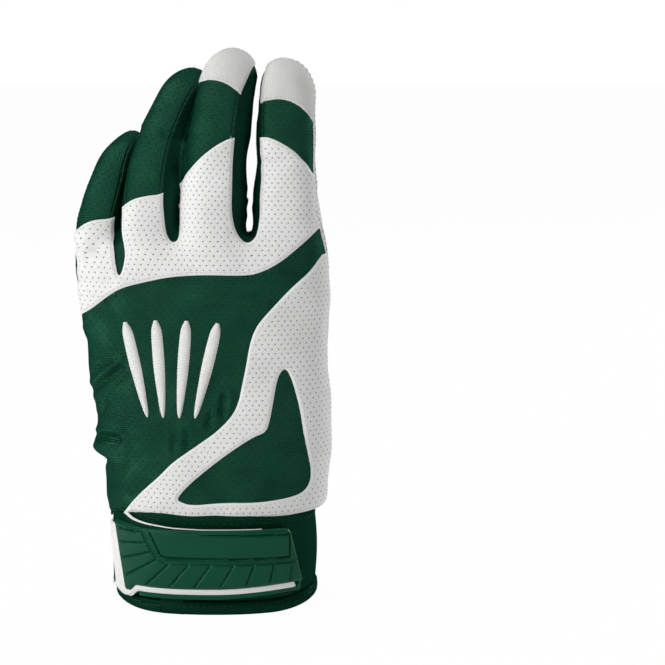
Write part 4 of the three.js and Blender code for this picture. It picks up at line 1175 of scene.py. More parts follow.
def stitch_tree():
    """Stitches along curves: short rounded threads, one for each pitch"""
    tree, given = new_tree("sewing", "Pitch", "Length", "Thread")
    curve = add_node(tree, "GeometryNodeMeshToCurve", {"Mesh": given["Geometry"]})
    spaced = add_node(tree, "GeometryNodeResampleCurve", {"Curve": curve, "Length": given["Pitch"]},
                      mode="LENGTH")
    tangent = add_node(tree, "GeometryNodeInputTangent")
    turned = add_node(tree, "FunctionNodeAlignRotationToVector", {"Vector": tangent}, axis="X")
    thread = add_node(tree, "GeometryNodeMeshUVSphere", {"Segments": 6, "Rings": 5, "Radius": 0.5})
    size = add_node(tree, "ShaderNodeCombineXYZ", {
        "X": given["Length"], "Y": given["Thread"], "Z": given["Thread"]})
    placed = add_node(tree, "GeometryNodeInstanceOnPoints", {
        "Points": spaced, "Instance": thread, "Rotation": turned, "Scale": size})
    return end_tree(tree, placed, given["Finish"])


SEWING = stitch_tree()


def with_tree(obj, tree, **values):
    """Runs a Geometry Nodes tree on an object and keeps the result"""
    modifier = obj.modifiers.new("shape", "NODES")
    modifier.node_group = tree
    for item in tree.interface.items_tree:
        if item.in_out == "INPUT" and item.name in values:
            modifier[item.identifier] = values[item.name]
    baked(obj)


def trace(points, faces, value):
    """The points and edges of the line on a mesh where a value crosses zero"""
    above = value >= 0
    count = above[faces].sum(1)
    crossed = (count == 1) | (count == 2)
    cut = faces[crossed]
    odd = np.where((count == 1)[:, None], above[faces], ~above[faces])[crossed].argmax(1)
    rows = np.arange(len(cut))
    corner, after, before = (cut[rows, (odd + i) % 3] for i in (0, 1, 2))
    ends = np.concatenate([np.stack([corner, after], 1), np.stack([corner, before], 1)])
    ends.sort(1)
    edges, index = np.unique(ends, axis=0, return_inverse=True)
    index = index.ravel()
    a, b = edges.T
    share = (value[a] / (value[a] - value[b]))[:, None]
    return points[a] + share * (points[b] - points[a]), np.stack([index[:len(cut)], index[len(cut):]], 1)


def sewn(name, lines, pitch, length, thread, finish):
    """Stitches along lines given as (points, edges)"""
    points, edges, start = [], [], 0
    for some_points, some_edges in lines:
        points.append(some_points)
        edges.append(some_edges + start)
        start += len(some_points)
    mesh = bpy.data.meshes.new(name)
    places = np.concatenate(points) * MM + origin
    mesh.from_pydata(places.tolist(), np.concatenate(edges).tolist(), [])
    obj = bpy.data.objects.new(name, mesh)
    bpy.context.scene.collection.objects.link(obj)
    with_tree(obj, SEWING, Pitch=pitch * MM, Length=length * MM, Thread=thread * MM, Finish=FINISH[finish])
    obj.data.shade_smooth()
    fitted(obj, "glove", "thread")


# Sewn panels: how high each lies on the skin, how far its edge drops and over what width, in millimetres
BACK, PALM = -1, 1  # the side of the hand from whose middle a panel's pattern is laid
WALL = 0.9
LAYERS = {
    "knuckle_overlay_leather": (0.75, 0.5, 1.1), "side_overlay_leather": (0.75, 0.5, 1.1),
    "window_mesh_cloth": (0.05, 0, 1), "back_mesh_cloth": (0.05, 0.5, 1.2),
    "index_tip_leather": (0.4, 0.35, 0.9), "middle_tip_leather": (0.4, 0.35, 0.9),
    **{finger + "_mesh_cloth": (0.1, 0.45, 1.2) for finger in FINGERS},
    **{finger + "_front_leather": (0.05, 0.5, 1.3) for finger in FINGERS},
    "palm_leather_hide": (0.1, 0.5, 1.3), "thumb_gusset_cloth": (-0.2, 0.3, 1.2),
    **{slot + "_strip_knit": (-0.55, 0, 1) for slot in SLOTS},
    "little_side_knit": (-0.35, 0.1, 1), "thumb_pad_leather": (-0.1, 0, 1),
    "thumb_root_gusset_cloth": (0.0, 0, 1), "thumb_tip_leather": (0.6, 0.45, 1.0),
    "thumb_mesh_cloth": (0.0, 0.3, 1.2), "thumb_base_leather": (0.6, 0.45, 1.0),
}


def make_panel(name, skin, edges, finish, side, node):
    """A sewn panel cut out of the skin, with its wall and its lining. Returns what its stitches follow"""
    data, faces = skin.cut(edges, side)
    edge = data[:, -2]
    level, drop, width = LAYERS[name]
    rise = level - drop * (1 - smooth(0, width, edge))
    points = data[:, POSITION] + data[:, NORMAL] * rise[:, None]
    layers = {"cloth": data[:, CLOTH], "edge": np.column_stack([edge, edge])}
    obj = make_mesh(name, points, faces, layers, (finish, "lining"))
    thickened(obj, WALL)
    softly_shaded(obj, 55)
    fitted(obj, "glove", "overlay" if finish == "tip" else finish, node)
    return points, faces, edge


def stitch_lines(panel, inset):
    points, faces, edge = panel
    return trace(points, faces, edge - inset)


def seam_rise(x):
    """How far the seam between the hand and the cuff climbs towards the little finger's side"""
    return 3.2 * smooth(-14, -34, x)


# The hand's hem inside the cuff: its height at the middle, how it bends at both sides of the hand, and where
# the skin ends behind it
HAND_HEM = {"height": 38.2, "half_width": 42, "thumb_side": 1.6, "little_side": (-1.9, 1.4), "end": 35.2}


def over_hem(points):
    """How far points lie above the hand's hem"""
    aside = points[:, 0] / HAND_HEM["half_width"]
    drop, steeper = HAND_HEM["little_side"]
    bend = np.where(aside > 0, HAND_HEM["thumb_side"], drop - steeper * aside ** 4) * aside ** 2
    return points[:, 2] - HAND_HEM["height"] - bend - seam_rise(points[:, 0])


def make_hand():
    """The panels of the hand and its four fingers. Returns what their stitches follow"""
    points = skin_points
    keep = (points[skin_faces][:, :, 2] > HAND_HEM["end"]).all(1)
    used, faces = np.unique(skin_faces[keep], return_inverse=True)
    points, faces = points[used], faces.reshape(-1, 3)
    flat = creased(points, corner_normals(points, faces))
    fields = skin_fields(points)
    skin = Skin(flat, faces, {BACK: skin_cloth(points, BACK), PALM: skin_cloth(points, PALM)})
    hem, slots = over_hem(points), -fields["slots"]
    back, palm, gusset, palm_piece = (fields[k] for k in ("back", "palm", "gusset", "palm_piece"))
    knuckles, above, side, window = (fields[k] for k in ("knuckles", "above", "side", "window"))
    made = {}
    made["knuckle_overlay"] = make_panel("knuckle_overlay_leather", skin, [
        (back, "seam"), (slots, "over"), (knuckles, "over")], "overlay", BACK, "knuckle_overlay")
    made["side_overlay"] = make_panel("side_overlay_leather", skin, [
        (back, "seam"), (side, "over"), (-window, "over"), (hem, "over")], "overlay", BACK, "side_overlay")
    make_panel("window_mesh_cloth", skin, [
        (back, "under"), (window, "under"), (hem, "under")], "mesh", BACK, "window_mesh")
    make_panel("back_mesh_cloth", skin, [
        (back, "seam"), (slots, "over"), (-above, "under"), (-side, "under"), (hem, "over")],
        "mesh", BACK, "back_mesh")
    for name in FINGERS:
        finger = fields[name]
        edges = [(back, "seam"), (slots, "over"), (finger, "seam"), (above, "under"), (-knuckles, "under")]
        if name in TIPS:
            tip = fields[name + "_tip"]
            made[name + "_tip"] = make_panel(name + "_tip_leather", skin, [
                *edges[:3], (above, "over"), (tip, "over")], "tip", BACK, name + "_tip")
            edges.append((-tip, "under"))
        made[name + "_mesh"] = make_panel(name + "_mesh_cloth", skin, edges, "mesh", BACK, name + "_mesh")
        made[name + "_leather"] = make_panel(name + "_front_leather", skin, [
            (palm, "seam"), (-palm_piece, "under"), (finger, "seam")], "palm", PALM, name + "_leather")
    made["palm_leather"] = make_panel("palm_leather_hide", skin, [
        (palm, "seam"), (palm_piece, "under"), (-gusset, "over"), (hem, "over")],
        "palm", PALM, "palm_leather")
    make_panel("thumb_gusset_cloth", skin, [
        (palm, "seam"), (gusset, "under"), (hem, "over")], "mesh", PALM, "thumb_gusset")
    for name in SLOTS:
        strip = np.minimum(-back, fields[name])
        strip = np.maximum(strip, fields[name + "_slot"])
        make_panel(name + "_strip_knit", skin, [
            (strip, "under"), (-palm, "under")], "stretch", BACK, name + "_fourchette")
    outer = np.minimum(-back, fields["little_side"])
    make_panel("little_side_knit", skin, [
        (outer, "under"), (-palm, "under"), (hem, "over")], "mesh", PALM, "little_side_strip")
    return made


panels = make_hand()


# The panel at the thumb's base narrows to a point between the palm and the gusset
WEDGE = [(0.336, 0.48), (0.228, 0.64), (0.14, 0.77), (0.14, 1), (0.55, 1), (0.52, 0.87), (0.448, 0.7175)]
# The seam round the thumb lies behind its middle by shares of its depth, more so on its outer flank. Where
# the flank starts is a share of the width for each height
THUMB_SEAM = {"depth": 0.12, "on flank": 0.42, "heights": (100, 125, 150, 176),
              "flank": (0.1, -0.02, -0.02, 0.2)}
GUSSET_LINE = {"heights": WEB_HEIGHT * np.array([0.3, 0.48, 0.7175]), "across": (30, 33.6, 44.8)}


def thumb_fields(points):
    """How far each point of the thumb lies on its side of each seam and of the join to the hand"""
    x, z = points[:, 0], points[:, 2]
    middle = digit_middle(THUMB, np.clip((z - THUMB["z"]) / THUMB["rise"], 0, 1))
    start = np.interp(z, THUMB_SEAM["heights"], THUMB_SEAM["flank"])
    flank = smooth(0, 0.25, (x - middle[:, 0]) / THUMB["width"] - start)
    edge = middle[:, 1] + THUMB["depth"] * (THUMB_SEAM["depth"] + THUMB_SEAM["on flank"] * flank)
    lean = (x - THUMB["x"]) / THUMB["width"]
    return {
        "front": edge - points[:, 1],
        "tip": z - (0.936 + 0.094 * lean) * WEB_HEIGHT,
        "base": (0.748 + 0.161 * lean) * WEB_HEIGHT - z,
        "wedge": inside_distance(palm_view(points), laid(WEDGE)),
        "outer": x - np.interp(z, GUSSET_LINE["heights"], GUSSET_LINE["across"]),
        "free": sampled(glove_distance, points, ((0, -20, 50), (60, 50, 200))) + JOIN,
    }


# Folds and unevenness of the thumb, written as those of the hand
THUMB_CREASES = [
    ([(31, 158), (40, 160), (46, 157)], 0.5, 1.6),
    ([(24, 128), (33, 124), (42, 126)], 0.4, 2.2),
]
THUMB_UNEVEN = ((26, 0.3), (13, 0.16))
JOIN = 1.0  # how far the thumb's skin reaches into the hand


def thumb_cloth(points):
    """Where the cloth's pattern lies on the thumb, laid from its back and from its front"""
    share, past, x, y = digit_place(THUMB, points)
    half_x, half_y = digit_halves(THUMB, share)
    return {side: np.stack([arc_from_middle(x, y, half_x, half_y, side),
                            THUMB["z"] + THUMB["rise"] * share + past], 1) for side in (BACK, PALM)}


def make_thumb():
    """The thumb's panels. Returns what their stitches follow"""
    points, faces = thumb_points, thumb_faces
    normals = corner_normals(points, faces)
    flat = points.copy()
    rng = np.random.default_rng(11)
    for wave, size in THUMB_UNEVEN:
        direction = rng.normal(size=(3, 3))
        direction *= 2 * np.pi / (wave * np.linalg.norm(direction, axis=0))
        flat += normals * (size * np.sin(points @ direction).sum(1) / 2)[:, None]
    view = palm_view(points)
    for line, depth, width in THUMB_CREASES:
        away = line_distance(view, rounded(line)) / width
        flat -= normals * (smooth(0.2, -0.4, normals[:, 1]) * depth * np.exp(-away ** 2))[:, None]
    fields = thumb_fields(points)
    flat += normals * filleted(fields["free"] - JOIN)[:, None]
    skin = Skin(flat, faces, thumb_cloth(points))
    front, tip, base, wedge, outer, free = fields.values()
    beside = np.minimum(base, -wedge)
    pad = np.maximum(front, np.minimum(beside, -outer))
    root = np.minimum(beside, outer)
    made = {}
    make_panel("thumb_pad_leather", skin, [(pad, "under"), (free, "under")], "palm", BACK, "thumb_leather")
    make_panel("thumb_root_gusset_cloth", skin, [
        (root, "under"), (-front, "under"), (free, "under")], "mesh", PALM, "thumb_gusset")
    made["thumb_tip_panel"] = make_panel("thumb_tip_leather", skin, [
        (-front, "over"), (tip, "over"), (free, "under")], "overlay", PALM, "thumb_tip_panel")
    make_panel("thumb_mesh_cloth", skin, [
        (-front, "over"), (-tip, "under"), (-base, "under"), (free, "under")], "mesh", PALM, "thumb_mesh")
    made["thumb_base_panel"] = make_panel("thumb_base_leather", skin, [
        (-front, "over"), (base, "over"), (wedge, "over"), (free, "under")], "overlay", PALM,
        "thumb_base_panel")
    return made


panels.update(make_thumb())

# Each run of stitches: its panels, how far inside their edges it lies, the stitches' pitch, length and
# thickness, and the thread
STITCHING = {
    "overlay_stitching": (("knuckle_overlay", "side_overlay", "index_tip", "middle_tip", "thumb_tip_panel",
                           "thumb_base_panel"), 1.15, 1.9, 1.2, 0.3, "white_thread"),
    "palm_stitching": (("palm_leather", *(finger + "_leather" for finger in FINGERS)), 1.5, 2.4, 1.7, 0.4,
                       "grey_thread"),
    "mesh_stitching": (tuple(finger + "_mesh" for finger in FINGERS), 1.3, 2.0, 1.4, 0.24, "green_thread"),
}
for run, (names, inset, *stitch) in STITCHING.items():
    sewn(run, [stitch_lines(panels[name], inset) for name in names], *stitch)


# Lofted pieces
def lofted(name, rings, cloth, materials, inner=None, angle=40):
    """A closed solid over rings of points of the same count, each a closed loop, with flat ends. The second
    material, if there is one, is for the faces at the places round a ring that inner marks"""
    rings = np.asarray(rings, float)
    n, m = rings.shape[:2]
    grid = np.arange(n * m).reshape(n, m)
    after = np.roll(grid, -1, 1)
    quads = np.stack([grid[:-1], after[:-1], after[1:], grid[1:]], -1).reshape(-1, 4).tolist()
    faces = quads + [grid[0].tolist()[::-1], grid[-1].tolist()]
    layers = {"cloth": np.asarray(cloth, float).reshape(-1, 2)}
    obj = make_mesh(name, rings.reshape(-1, 3), faces, layers, materials, False)
    if len(materials) > 1:
        for i, polygon in enumerate(obj.data.polygons[:len(quads)]):
            polygon.material_index = int(inner[i % m])
    shape = bmesh.new()
    shape.from_mesh(obj.data)
    bmesh.ops.recalc_face_normals(shape, faces=shape.faces)
    shape.to_mesh(obj.data)
    shape.free()
    softly_shaded(obj, angle)
    return obj


# The emblem: slim padded bars of satin stitch that fan out towards the knuckles
BAR_SHAPE = [(0, 0.12), (0.06, 0.45), (0.3, 0.78), (0.55, 1), (0.8, 0.98), (0.92, 0.86), (1, 0.3)]


def back_tree():
    """The back of the skin, to lay pieces on it"""
    points = creased(skin_points, corner_normals(skin_points, skin_faces))
    return BVHTree.FromPolygons(points.tolist(), skin_faces.tolist())


BAR_RING = [(side, True) for side in np.linspace(-1, 1, 13)]
BAR_RING += [(side, False) for side in np.linspace(1, -1, 5)]
BAR_RAGGED = 0.035  # how unevenly the satin stitches end, as a share of the bar's width


def bar_ring(surface, bar, share, half):
    """A ring of points round a bar at a share of its length, up over its face and back under the skin"""
    lean = math.radians(bar * EMBLEM["spread"])
    along = np.array([math.sin(lean), math.cos(lean)])
    across = np.array([along[1], -along[0]])
    foot = np.array([EMBLEM["x"] + bar * EMBLEM["pitch"], EMBLEM["low"]])
    ragged = 1 + BAR_RAGGED * math.sin(share * 190 + 2 * (bar + (EMBLEM["bars"] - 1) / 2))
    points, cloth = [], []
    for side, on_face in BAR_RING:
        spot = foot + along * share * EMBLEM["length"] + across * side * half * (ragged if on_face else 1)
        hit, normal, _, _ = surface.ray_cast(Vector((spot[0], -80, spot[1])), Vector((0, 1, 0)))
        padded = 0.15 + EMBLEM["height"] * (1 - abs(side) ** 2.6) * min(1, half / 1.2)
        points.append(tuple(hit + normal * padded) if on_face else tuple(hit - normal * 0.3))
        cloth.append((side * half, share * EMBLEM["length"]))
    return points, cloth


def make_emblem():
    """Each bar is a row of rings over the skin, raised along its middle like padded satin stitch"""
    surface = back_tree()
    shape = rounded(BAR_SHAPE)
    for i in range(EMBLEM["bars"]):
        bar = i - (EMBLEM["bars"] - 1) / 2
        rings, cloth = [], []
        for share in np.linspace(0, 1, 77):
            half = np.interp(share, shape[:, 0], shape[:, 1]) * EMBLEM["width"] / 2
            points, places = bar_ring(surface, bar, share, half)
            rings.append(points)
            cloth.append(places)
        made = lofted(f"emblem_satin_bar_{i + 1}", rings, cloth, ("satin",))
        fitted(made, "glove", "thread", f"emblem_bar_{i + 1}")


make_emblem()


# The cuff
def round_x(angle):
    """Place across on the rounded section, as a share of its half width"""
    return math.copysign(abs(math.cos(angle)) ** (2 / ROUNDNESS), math.cos(angle))


def round_y(angle):
    return math.copysign(abs(math.sin(angle)) ** (2 / ROUNDNESS), math.sin(angle))


def cuff_point(angle, off, z):
    """A point round the cuff, at a distance out from its plain form"""
    across = math.cos(angle)
    off += abs(across) ** 3 * (CUFF["thumb_side"] if across > 0 else CUFF["little_side"])
    return ((CUFF["width"] / 2 + off) * round_x(angle), (CUFF["depth"] / 2 + off) * round_y(angle), z)


def back_angle(x):
    """The angle on the back of the cuff at a distance across it"""
    share = abs(x) / (CUFF["width"] / 2)
    return 2 * math.pi - math.acos(math.copysign(min(share, 1) ** (ROUNDNESS / 2), x))


def arc_steps(start, end, spacing=1.1):
    """Angles from start to end at even distances along the cuff, with those distances"""
    fine = np.linspace(start, end, 1500)
    spots = np.array([cuff_point(a, 0, 0) for a in fine])
    length = np.concatenate([[0], np.cumsum(np.linalg.norm(np.diff(spots, axis=0), axis=1))])
    count = max(int(length[-1] / spacing), 4)
    wanted = np.linspace(0, length[-1], count + 1)
    return np.interp(wanted, length, fine), wanted


def hem_height(angle, lift):
    """The cuff's lower edge rises at both sides of the hand"""
    flat = 0.55 * CUFF["width"] / 2
    share = max(abs(CUFF["width"] / 2 * round_x(angle)) - flat, 0) / (CUFF["width"] / 2 - flat)
    return CUFF["side_rise"] * share * share + lift


def edge_drop(distance, radius):
    """How far a rounded edge falls below its face, at a distance from the edge"""
    return radius * (1 - math.sqrt(max(1 - (1 - min(distance / radius, 1)) ** 2, 0)))


def wall_profile(low, high, outer, inner, bulge, rows, edge):
    """A closed loop of (offset, height): up the outer side, over, and down the inner side"""
    def level(share):
        return edge_drop(min(share, 1 - share) * (high - low), edge), low + share * (high - low)

    loop = []
    for share in np.linspace(0, 1, rows):
        drop, z = level(share)
        loop.append((outer + bulge * math.sin(math.pi * share) - drop, z))
    for share in np.linspace(1, 0, max(rows // 3, 4)):
        drop, z = level(share)
        loop.append((inner + drop, z))
    return loop


def cuff_piece(name, start, end, profile, materials, rows, slot, node):
    """A piece of the cuff lofted round it. A second material covers what comes after the outer side's rows"""
    angles, lengths = arc_steps(start, end)
    rings, cloth = [], []
    for angle, length in zip(angles, lengths):
        loop = profile(angle)
        rings.append([cuff_point(angle, off, z) for off, z in loop])
        cloth.append([(length, z) for _, z in loop])
    piece = lofted(name, rings, cloth, materials, [i >= rows for i in range(len(rings[0]))])
    fitted(piece, "glove", slot, node)


SLIT_LEFT = back_angle(SLIT["middle"] - SLIT["width"] / 2)
SLIT_RIGHT = back_angle(SLIT["middle"] + SLIT["width"] / 2)
CUFF_RADIUS = CUFF["width"] / 2 * 0.86  # the mean, to turn an angle round the cuff to a length


def cuff_waves(angle, z):
    """The soft unevenness of a knitted band"""
    return 0.22 * math.sin(3 * angle + 0.09 * z) + 0.14 * math.sin(7 * angle - 0.21 * z)


def x_at(angle):
    """How far across the cuff an angle lies"""
    return cuff_point(angle, 0, 0)[0]


def cuff_top(angle):
    return CUFF["height"] + seam_rise(x_at(angle))


def band_profile(angle):
    loop = wall_profile(hem_height(angle, CUFF["hem"] - 0.4), cuff_top(angle), 0, -CUFF["wall"],
                        bulge=0.5, rows=30, edge=0.7)
    return [(off + cuff_waves(angle, z), z) for off, z in loop]


def hem_profile(angle):
    """The bound hem, with the groove of its sewing"""
    high = hem_height(angle, CUFF["hem"])
    loop = wall_profile(hem_height(angle, 0), high, CUFF["hem_proud"] + 0.15, -CUFF["wall"],
                        bulge=0.35, rows=16, edge=1.1)
    return [(off + cuff_waves(angle, z) - 0.5 * math.exp(-((z - high + 1.7) / 0.35) ** 2) * (off > 0), z)
            for off, z in loop]


def gusset_profile(angle):
    """The gusset lies flush in the slit and carries the bound hem across it"""
    loop = wall_profile(hem_height(angle, 0), cuff_top(angle), 0, -SLIT["wall"],
                        bulge=0.5, rows=40, edge=0.7)
    step = hem_height(angle, CUFF["hem"])
    return [(off + cuff_waves(angle, z) + (off > -1) * (CUFF["hem_proud"] * smooth(0.4, -0.4, z - step)
                                                       - 0.3 * math.exp(-((z - step) / 0.5) ** 2)), z)
            for off, z in loop]


def cuff_line(off, height, start, end):
    """A line round the cuff for stitches, at an offset and a height given for each angle"""
    angles, _ = arc_steps(start, end, 1.5)
    points = np.array([cuff_point(a, off(a), height(a)) for a in angles])
    return points, np.stack([np.arange(len(points) - 1), np.arange(1, len(points))], 1)


def band_line(off, height, start, end):
    """A line for stitches on the band, which follows its waves"""
    return cuff_line(lambda a: off + cuff_waves(a, height(a)), height, start, end)


def make_cuff():
    start, end = SLIT_RIGHT - 2 * math.pi, SLIT_LEFT
    cuff_piece("cuff_knit_band", start, end, band_profile, ("cuff", "lining"), 30, "cuff", "cuff_band")
    cuff_piece("cuff_bound_hem", start, end, hem_profile, ("cuff", "lining"), 16, "cuff", "cuff_hem")
    cuff_piece("slit_knit_gusset", SLIT_LEFT, SLIT_RIGHT, gusset_profile, ("cuff",), 40, "stretch",
               "slit_gusset")
    hem_stitch = band_line(0.75, lambda a: hem_height(a, CUFF["hem"] - 1.7), start + 0.02, end - 0.02)
    top_stitch = band_line(0.25, lambda a: cuff_top(a) - 3.4, start + 0.02, end - 0.02)
    sewn("cuff_stitching", [hem_stitch, top_stitch], 2.6, 1.9, 0.34, "green_thread")


make_cuff()

# The strap, its fastening and the moulded tab
STRAP = {"low": 7.5, "high": 33.5, "thickness": 1.1, "tip": 28, "anchor_reach": 20, "root": math.radians(188)}
FASTENER = {"thickness": 0.7, "margin": 3.5, "root": -2, "filament": 0.07}
TAB = {"thickness": 1.3, "tip": 30.9, "slant": 4.3, "raised": 0.9, "trim": 2.1, "root": (-32.3, -36.2),
       "lip_root": -27.6, "trim_tip": 1.9}
# Where across the back the edges of the tab bend, each from one place to another
BENDS = {"climb": (-24, -38), "corner": (-28.3, -31.5), "tail": (-34, -39.3), "flank": (-36.2, -38.4),
         "slope": (0, 30)}
GAP = 0.3


def strap_lift(angle):
    """How far the strap stands off the cuff, over the hem at its root and over the tapes where it fastens"""
    fastened = 2 * (GAP + FASTENER["thickness"])
    share = smooth(0.1, 0.75, (angle - STRAP["root"]) / (math.pi / 2))
    return GAP + CUFF["hem_proud"] + (fastened - CUFF["hem_proud"]) * share


def wrapped(name, start, end, low, high, inner, outer, lift, materials, body, slot, nodes, spacing=(1.0, 1.0),
            radius=0.35, relief=None):
    """A layer wrapped round the cuff. Its start and end may be functions of the share of its height, and low
    and high functions of the angle"""
    start_at = start if callable(start) else lambda share: start
    end_at = end if callable(end) else lambda share: end
    low_at = low if callable(low) else lambda angle: low
    high_at = high if callable(high) else lambda angle: high
    steps = int((arc_steps(start_at(0.5), end_at(0.5))[1][-1]) / spacing[0])
    rows = int((high_at(end_at(0.5)) - low_at(end_at(0.5))) / spacing[1])
    rings, cloth = [], []
    for i in range(steps + 1):
        top, bottom = [], []
        for k in range(rows + 1):
            share = k / rows
            first, last = start_at(share), end_at(share)
            angle = first + (last - first) * i / steps
            z = low_at(angle) + (high_at(angle) - low_at(angle)) * share
            length = CUFF_RADIUS * (angle - first)
            whole = CUFF_RADIUS * (last - first)
            border = min(length, whole - length, z - low_at(angle), high_at(angle) - z)
            rise = lift(angle) + outer - edge_drop(border, radius)
            if relief:
                rise += relief(x_at(angle), z, border)
            top.append((cuff_point(angle, rise, z), (length, z)))
            bottom.append((cuff_point(angle, lift(angle) + inner, z), (length, z)))
        ring = top + bottom[::-1]
        rings.append([point for point, _ in ring])
        cloth.append([place for _, place in ring])
    fitted(lofted(name, rings, cloth, materials, angle=50), body, slot, *nodes)


def tab_top(angle):
    """The tab's upper edge rises a little towards its root"""
    return STRAP["high"] + 1.4 + 1.5 * smooth(*BENDS["climb"], x_at(angle))


def trim_low(angle):
    """The white stripe's lower edge rises towards the tip and drops to a corner at the root"""
    x = x_at(angle)
    corner = -2.6 * smooth(*BENDS["corner"], x) + 2 * smooth(*BENDS["tail"], x)
    return STRAP["low"] + 1.5 + 1.5 * smooth(*BENDS["slope"], x) + corner


def trim_high(angle):
    """The white stripe's end stops short of the tab's upper edge, more so round the flank"""
    return tab_top(angle) - 0.9 - 1.7 * smooth(*BENDS["flank"], x_at(angle))


def tab_low(angle):
    """The tab's face starts just above the white stripe"""
    return trim_low(angle) + TAB["trim"] + GAP


def lip_low(angle):
    """The lip shows as a rim below the white stripe"""
    return trim_low(angle) - 1.7 + 0.5 * smooth(*BENDS["slope"], x_at(angle))


def lip_high(angle):
    """The lip runs under the white stripe and turns up round its end"""
    end = TAB["tip"] - TAB["trim_tip"]
    return trim_low(angle) + 0.5 + TAB["trim"] * smooth(end, end + 0.5, x_at(angle))


def slanted(low_x, high_x):
    """An end of a layer that leans from one place across the back to another"""
    def angle_at(share):
        return back_angle(low_x + (high_x - low_x) * share)
    return angle_at


def trim_start(share):
    """The white stripe's outer side leans with the tab and runs out into a tail at its lower corner"""
    return back_angle(-36.9 - 2.5 * share - 2.2 * max(0, 1 - share / 0.08))


def tab_tip(share):
    """The tab's free end leans back, with its upper corner rounded"""
    turn = max(0, 1 - (1 - share) / 0.09)
    return back_angle(TAB["tip"] - TAB["slant"] * share - 2.2 * (1 - math.sqrt(1 - turn ** 2)))


# The tab's face, in millimetres across the cuff and up it: the plain plate, the channel round it and the
# grooves that fan out between the pads
PLATE = [(-22.4, 34.1), (25.7, 32.8), (25.7, 23.9), (-16.4, 24.5), (-18.4, 25.2)]
CHANNEL = [(-25.1, 34.6), (-23.5, 30.8), (-19.7, 24), (-17.4, 22.6), (28, 22.1)]
GROOVES = [
    ((-34.5, 33.8), (-25.1, 33.6)), ((-34, 28.4), (-23.3, 29.8)), ((-33.4, 22.1), (-21.5, 26.4)),
    ((-31.6, 15.5), (-20, 23.4)), ((-23.8, 13), (-15.7, 21.7)), ((-15.3, 12.8), (-8.6, 22)),
    ((-6.6, 13), (-1.1, 21.8)), ((2.4, 13.4), (6.7, 21.4)), ((11.1, 13.6), (13.7, 21.5)),
    ((19.1, 14.3), (20.4, 21)), ((25.9, 14.3), (26.6, 20.2)),
]


def tab_relief(x, z, border):
    """The raised face of the tab: a plain plate in its channel, and pads parted by grooves"""
    spot = np.array([[x, z]])
    rise = TAB["raised"] * smooth(0.6, 1.3, border)
    plate = inside_distance(spot, PLATE)[0]
    if plate > -0.3:
        return rise * smooth(-0.3, 0.5, plate)
    groove = min(line_distance(spot, line)[0] for line in GROOVES)
    channel = line_distance(spot, CHANNEL)[0]
    return rise * smooth(0.1, 0.5, groove) * smooth(0.55, 1.1, channel) * 0.85


# The strap's bound edge, in millimetres across the cuff and up it
BOUND_EDGE = np.array([(-34.4, 39.2), (-30.9, 38), (-25, 36.8), (-14.8, 35.7), (-4, 35.25), (17, 35.2)])


def bound_height(angle):
    return np.interp(x_at(angle), BOUND_EDGE[:, 0], BOUND_EDGE[:, 1])


def strap_top(angle):
    """The strap's upper edge climbs to its bound edge, and falls again towards the sewn root"""
    bound = bound_height(angle) - 0.3 - STRAP["high"]
    share = (angle - STRAP["root"]) / (back_angle(BOUND_EDGE[0, 0]) - STRAP["root"])
    return STRAP["high"] + bound * smooth(0, 0.22, share) * smooth(-2, -12, x_at(angle))


def bound_edge():
    """The strap's pale bound edge, which shows over the root of the tab"""
    angles, lengths = arc_steps(back_angle(BOUND_EDGE[0, 0]), back_angle(BOUND_EDGE[-1, 0]), 0.8)
    turns = np.linspace(0, 2 * math.pi, 9)[:-1]
    rings, cloth = [], []
    for angle, length in zip(angles, lengths):
        radius = 0.2 + 0.6 * math.exp(-length / 9)
        off = (strap_lift(angle) + STRAP["thickness"]) * smooth(-5, 9, length) + 0.3
        z = bound_height(angle)
        rings.append([cuff_point(angle, off + radius * math.cos(t), z + radius * math.sin(t)) for t in turns])
        cloth.append([(length, t) for t in turns])
    fitted(lofted("strap_bound_edge", rings, cloth, ("trim",)), "strap", "trim", "strap_band")


def pile_tree():
    """Bent filaments standing all over a tape: hooks or, bent right round, loops"""
    tree, given = new_tree("pile", "Spacing", "Radius", "Bend", "Spin", "Filament")
    spread = add_node(tree, "GeometryNodeDistributePointsOnFaces", {
        "Mesh": given["Geometry"], "Distance Min": given["Spacing"], "Density Max": 6e6, "Seed": 5},
        distribute_method="POISSON").node.outputs
    arc = add_node(tree, "GeometryNodeCurveArc", {
        "Resolution": 8, "Radius": given["Radius"], "Sweep Angle": given["Bend"]})
    profile = add_node(tree, "GeometryNodeCurvePrimitiveCircle", {
        "Resolution": 5, "Radius": given["Filament"]})
    strand = add_node(tree, "GeometryNodeCurveToMesh", {
        "Curve": arc, "Profile Curve": profile, "Fill Caps": True})
    standing = add_node(tree, "GeometryNodeTransform", {"Geometry": strand, "Rotation": (math.pi / 2, 0, 0)})
    chance = add_node(tree, "FunctionNodeRandomValue", {"Min": 0.0, "Max": 1.0}, "Value", data_type="FLOAT")
    turn = add_node(tree, "ShaderNodeMath", {0: chance, 1: given["Spin"]}, operation="MULTIPLY")
    spin = add_node(tree, "ShaderNodeCombineXYZ", {"Z": turn})
    spin = add_node(tree, "FunctionNodeEulerToRotation", {"Euler": spin})
    turned = add_node(tree, "FunctionNodeRotateRotation", {
        "Rotation": spread["Rotation"], "Rotate By": spin}, rotation_space="LOCAL")
    placed = add_node(tree, "GeometryNodeInstanceOnPoints", {
        "Points": spread["Points"], "Instance": standing, "Rotation": turned})
    return end_tree(tree, placed, given["Finish"])


PILE = pile_tree()


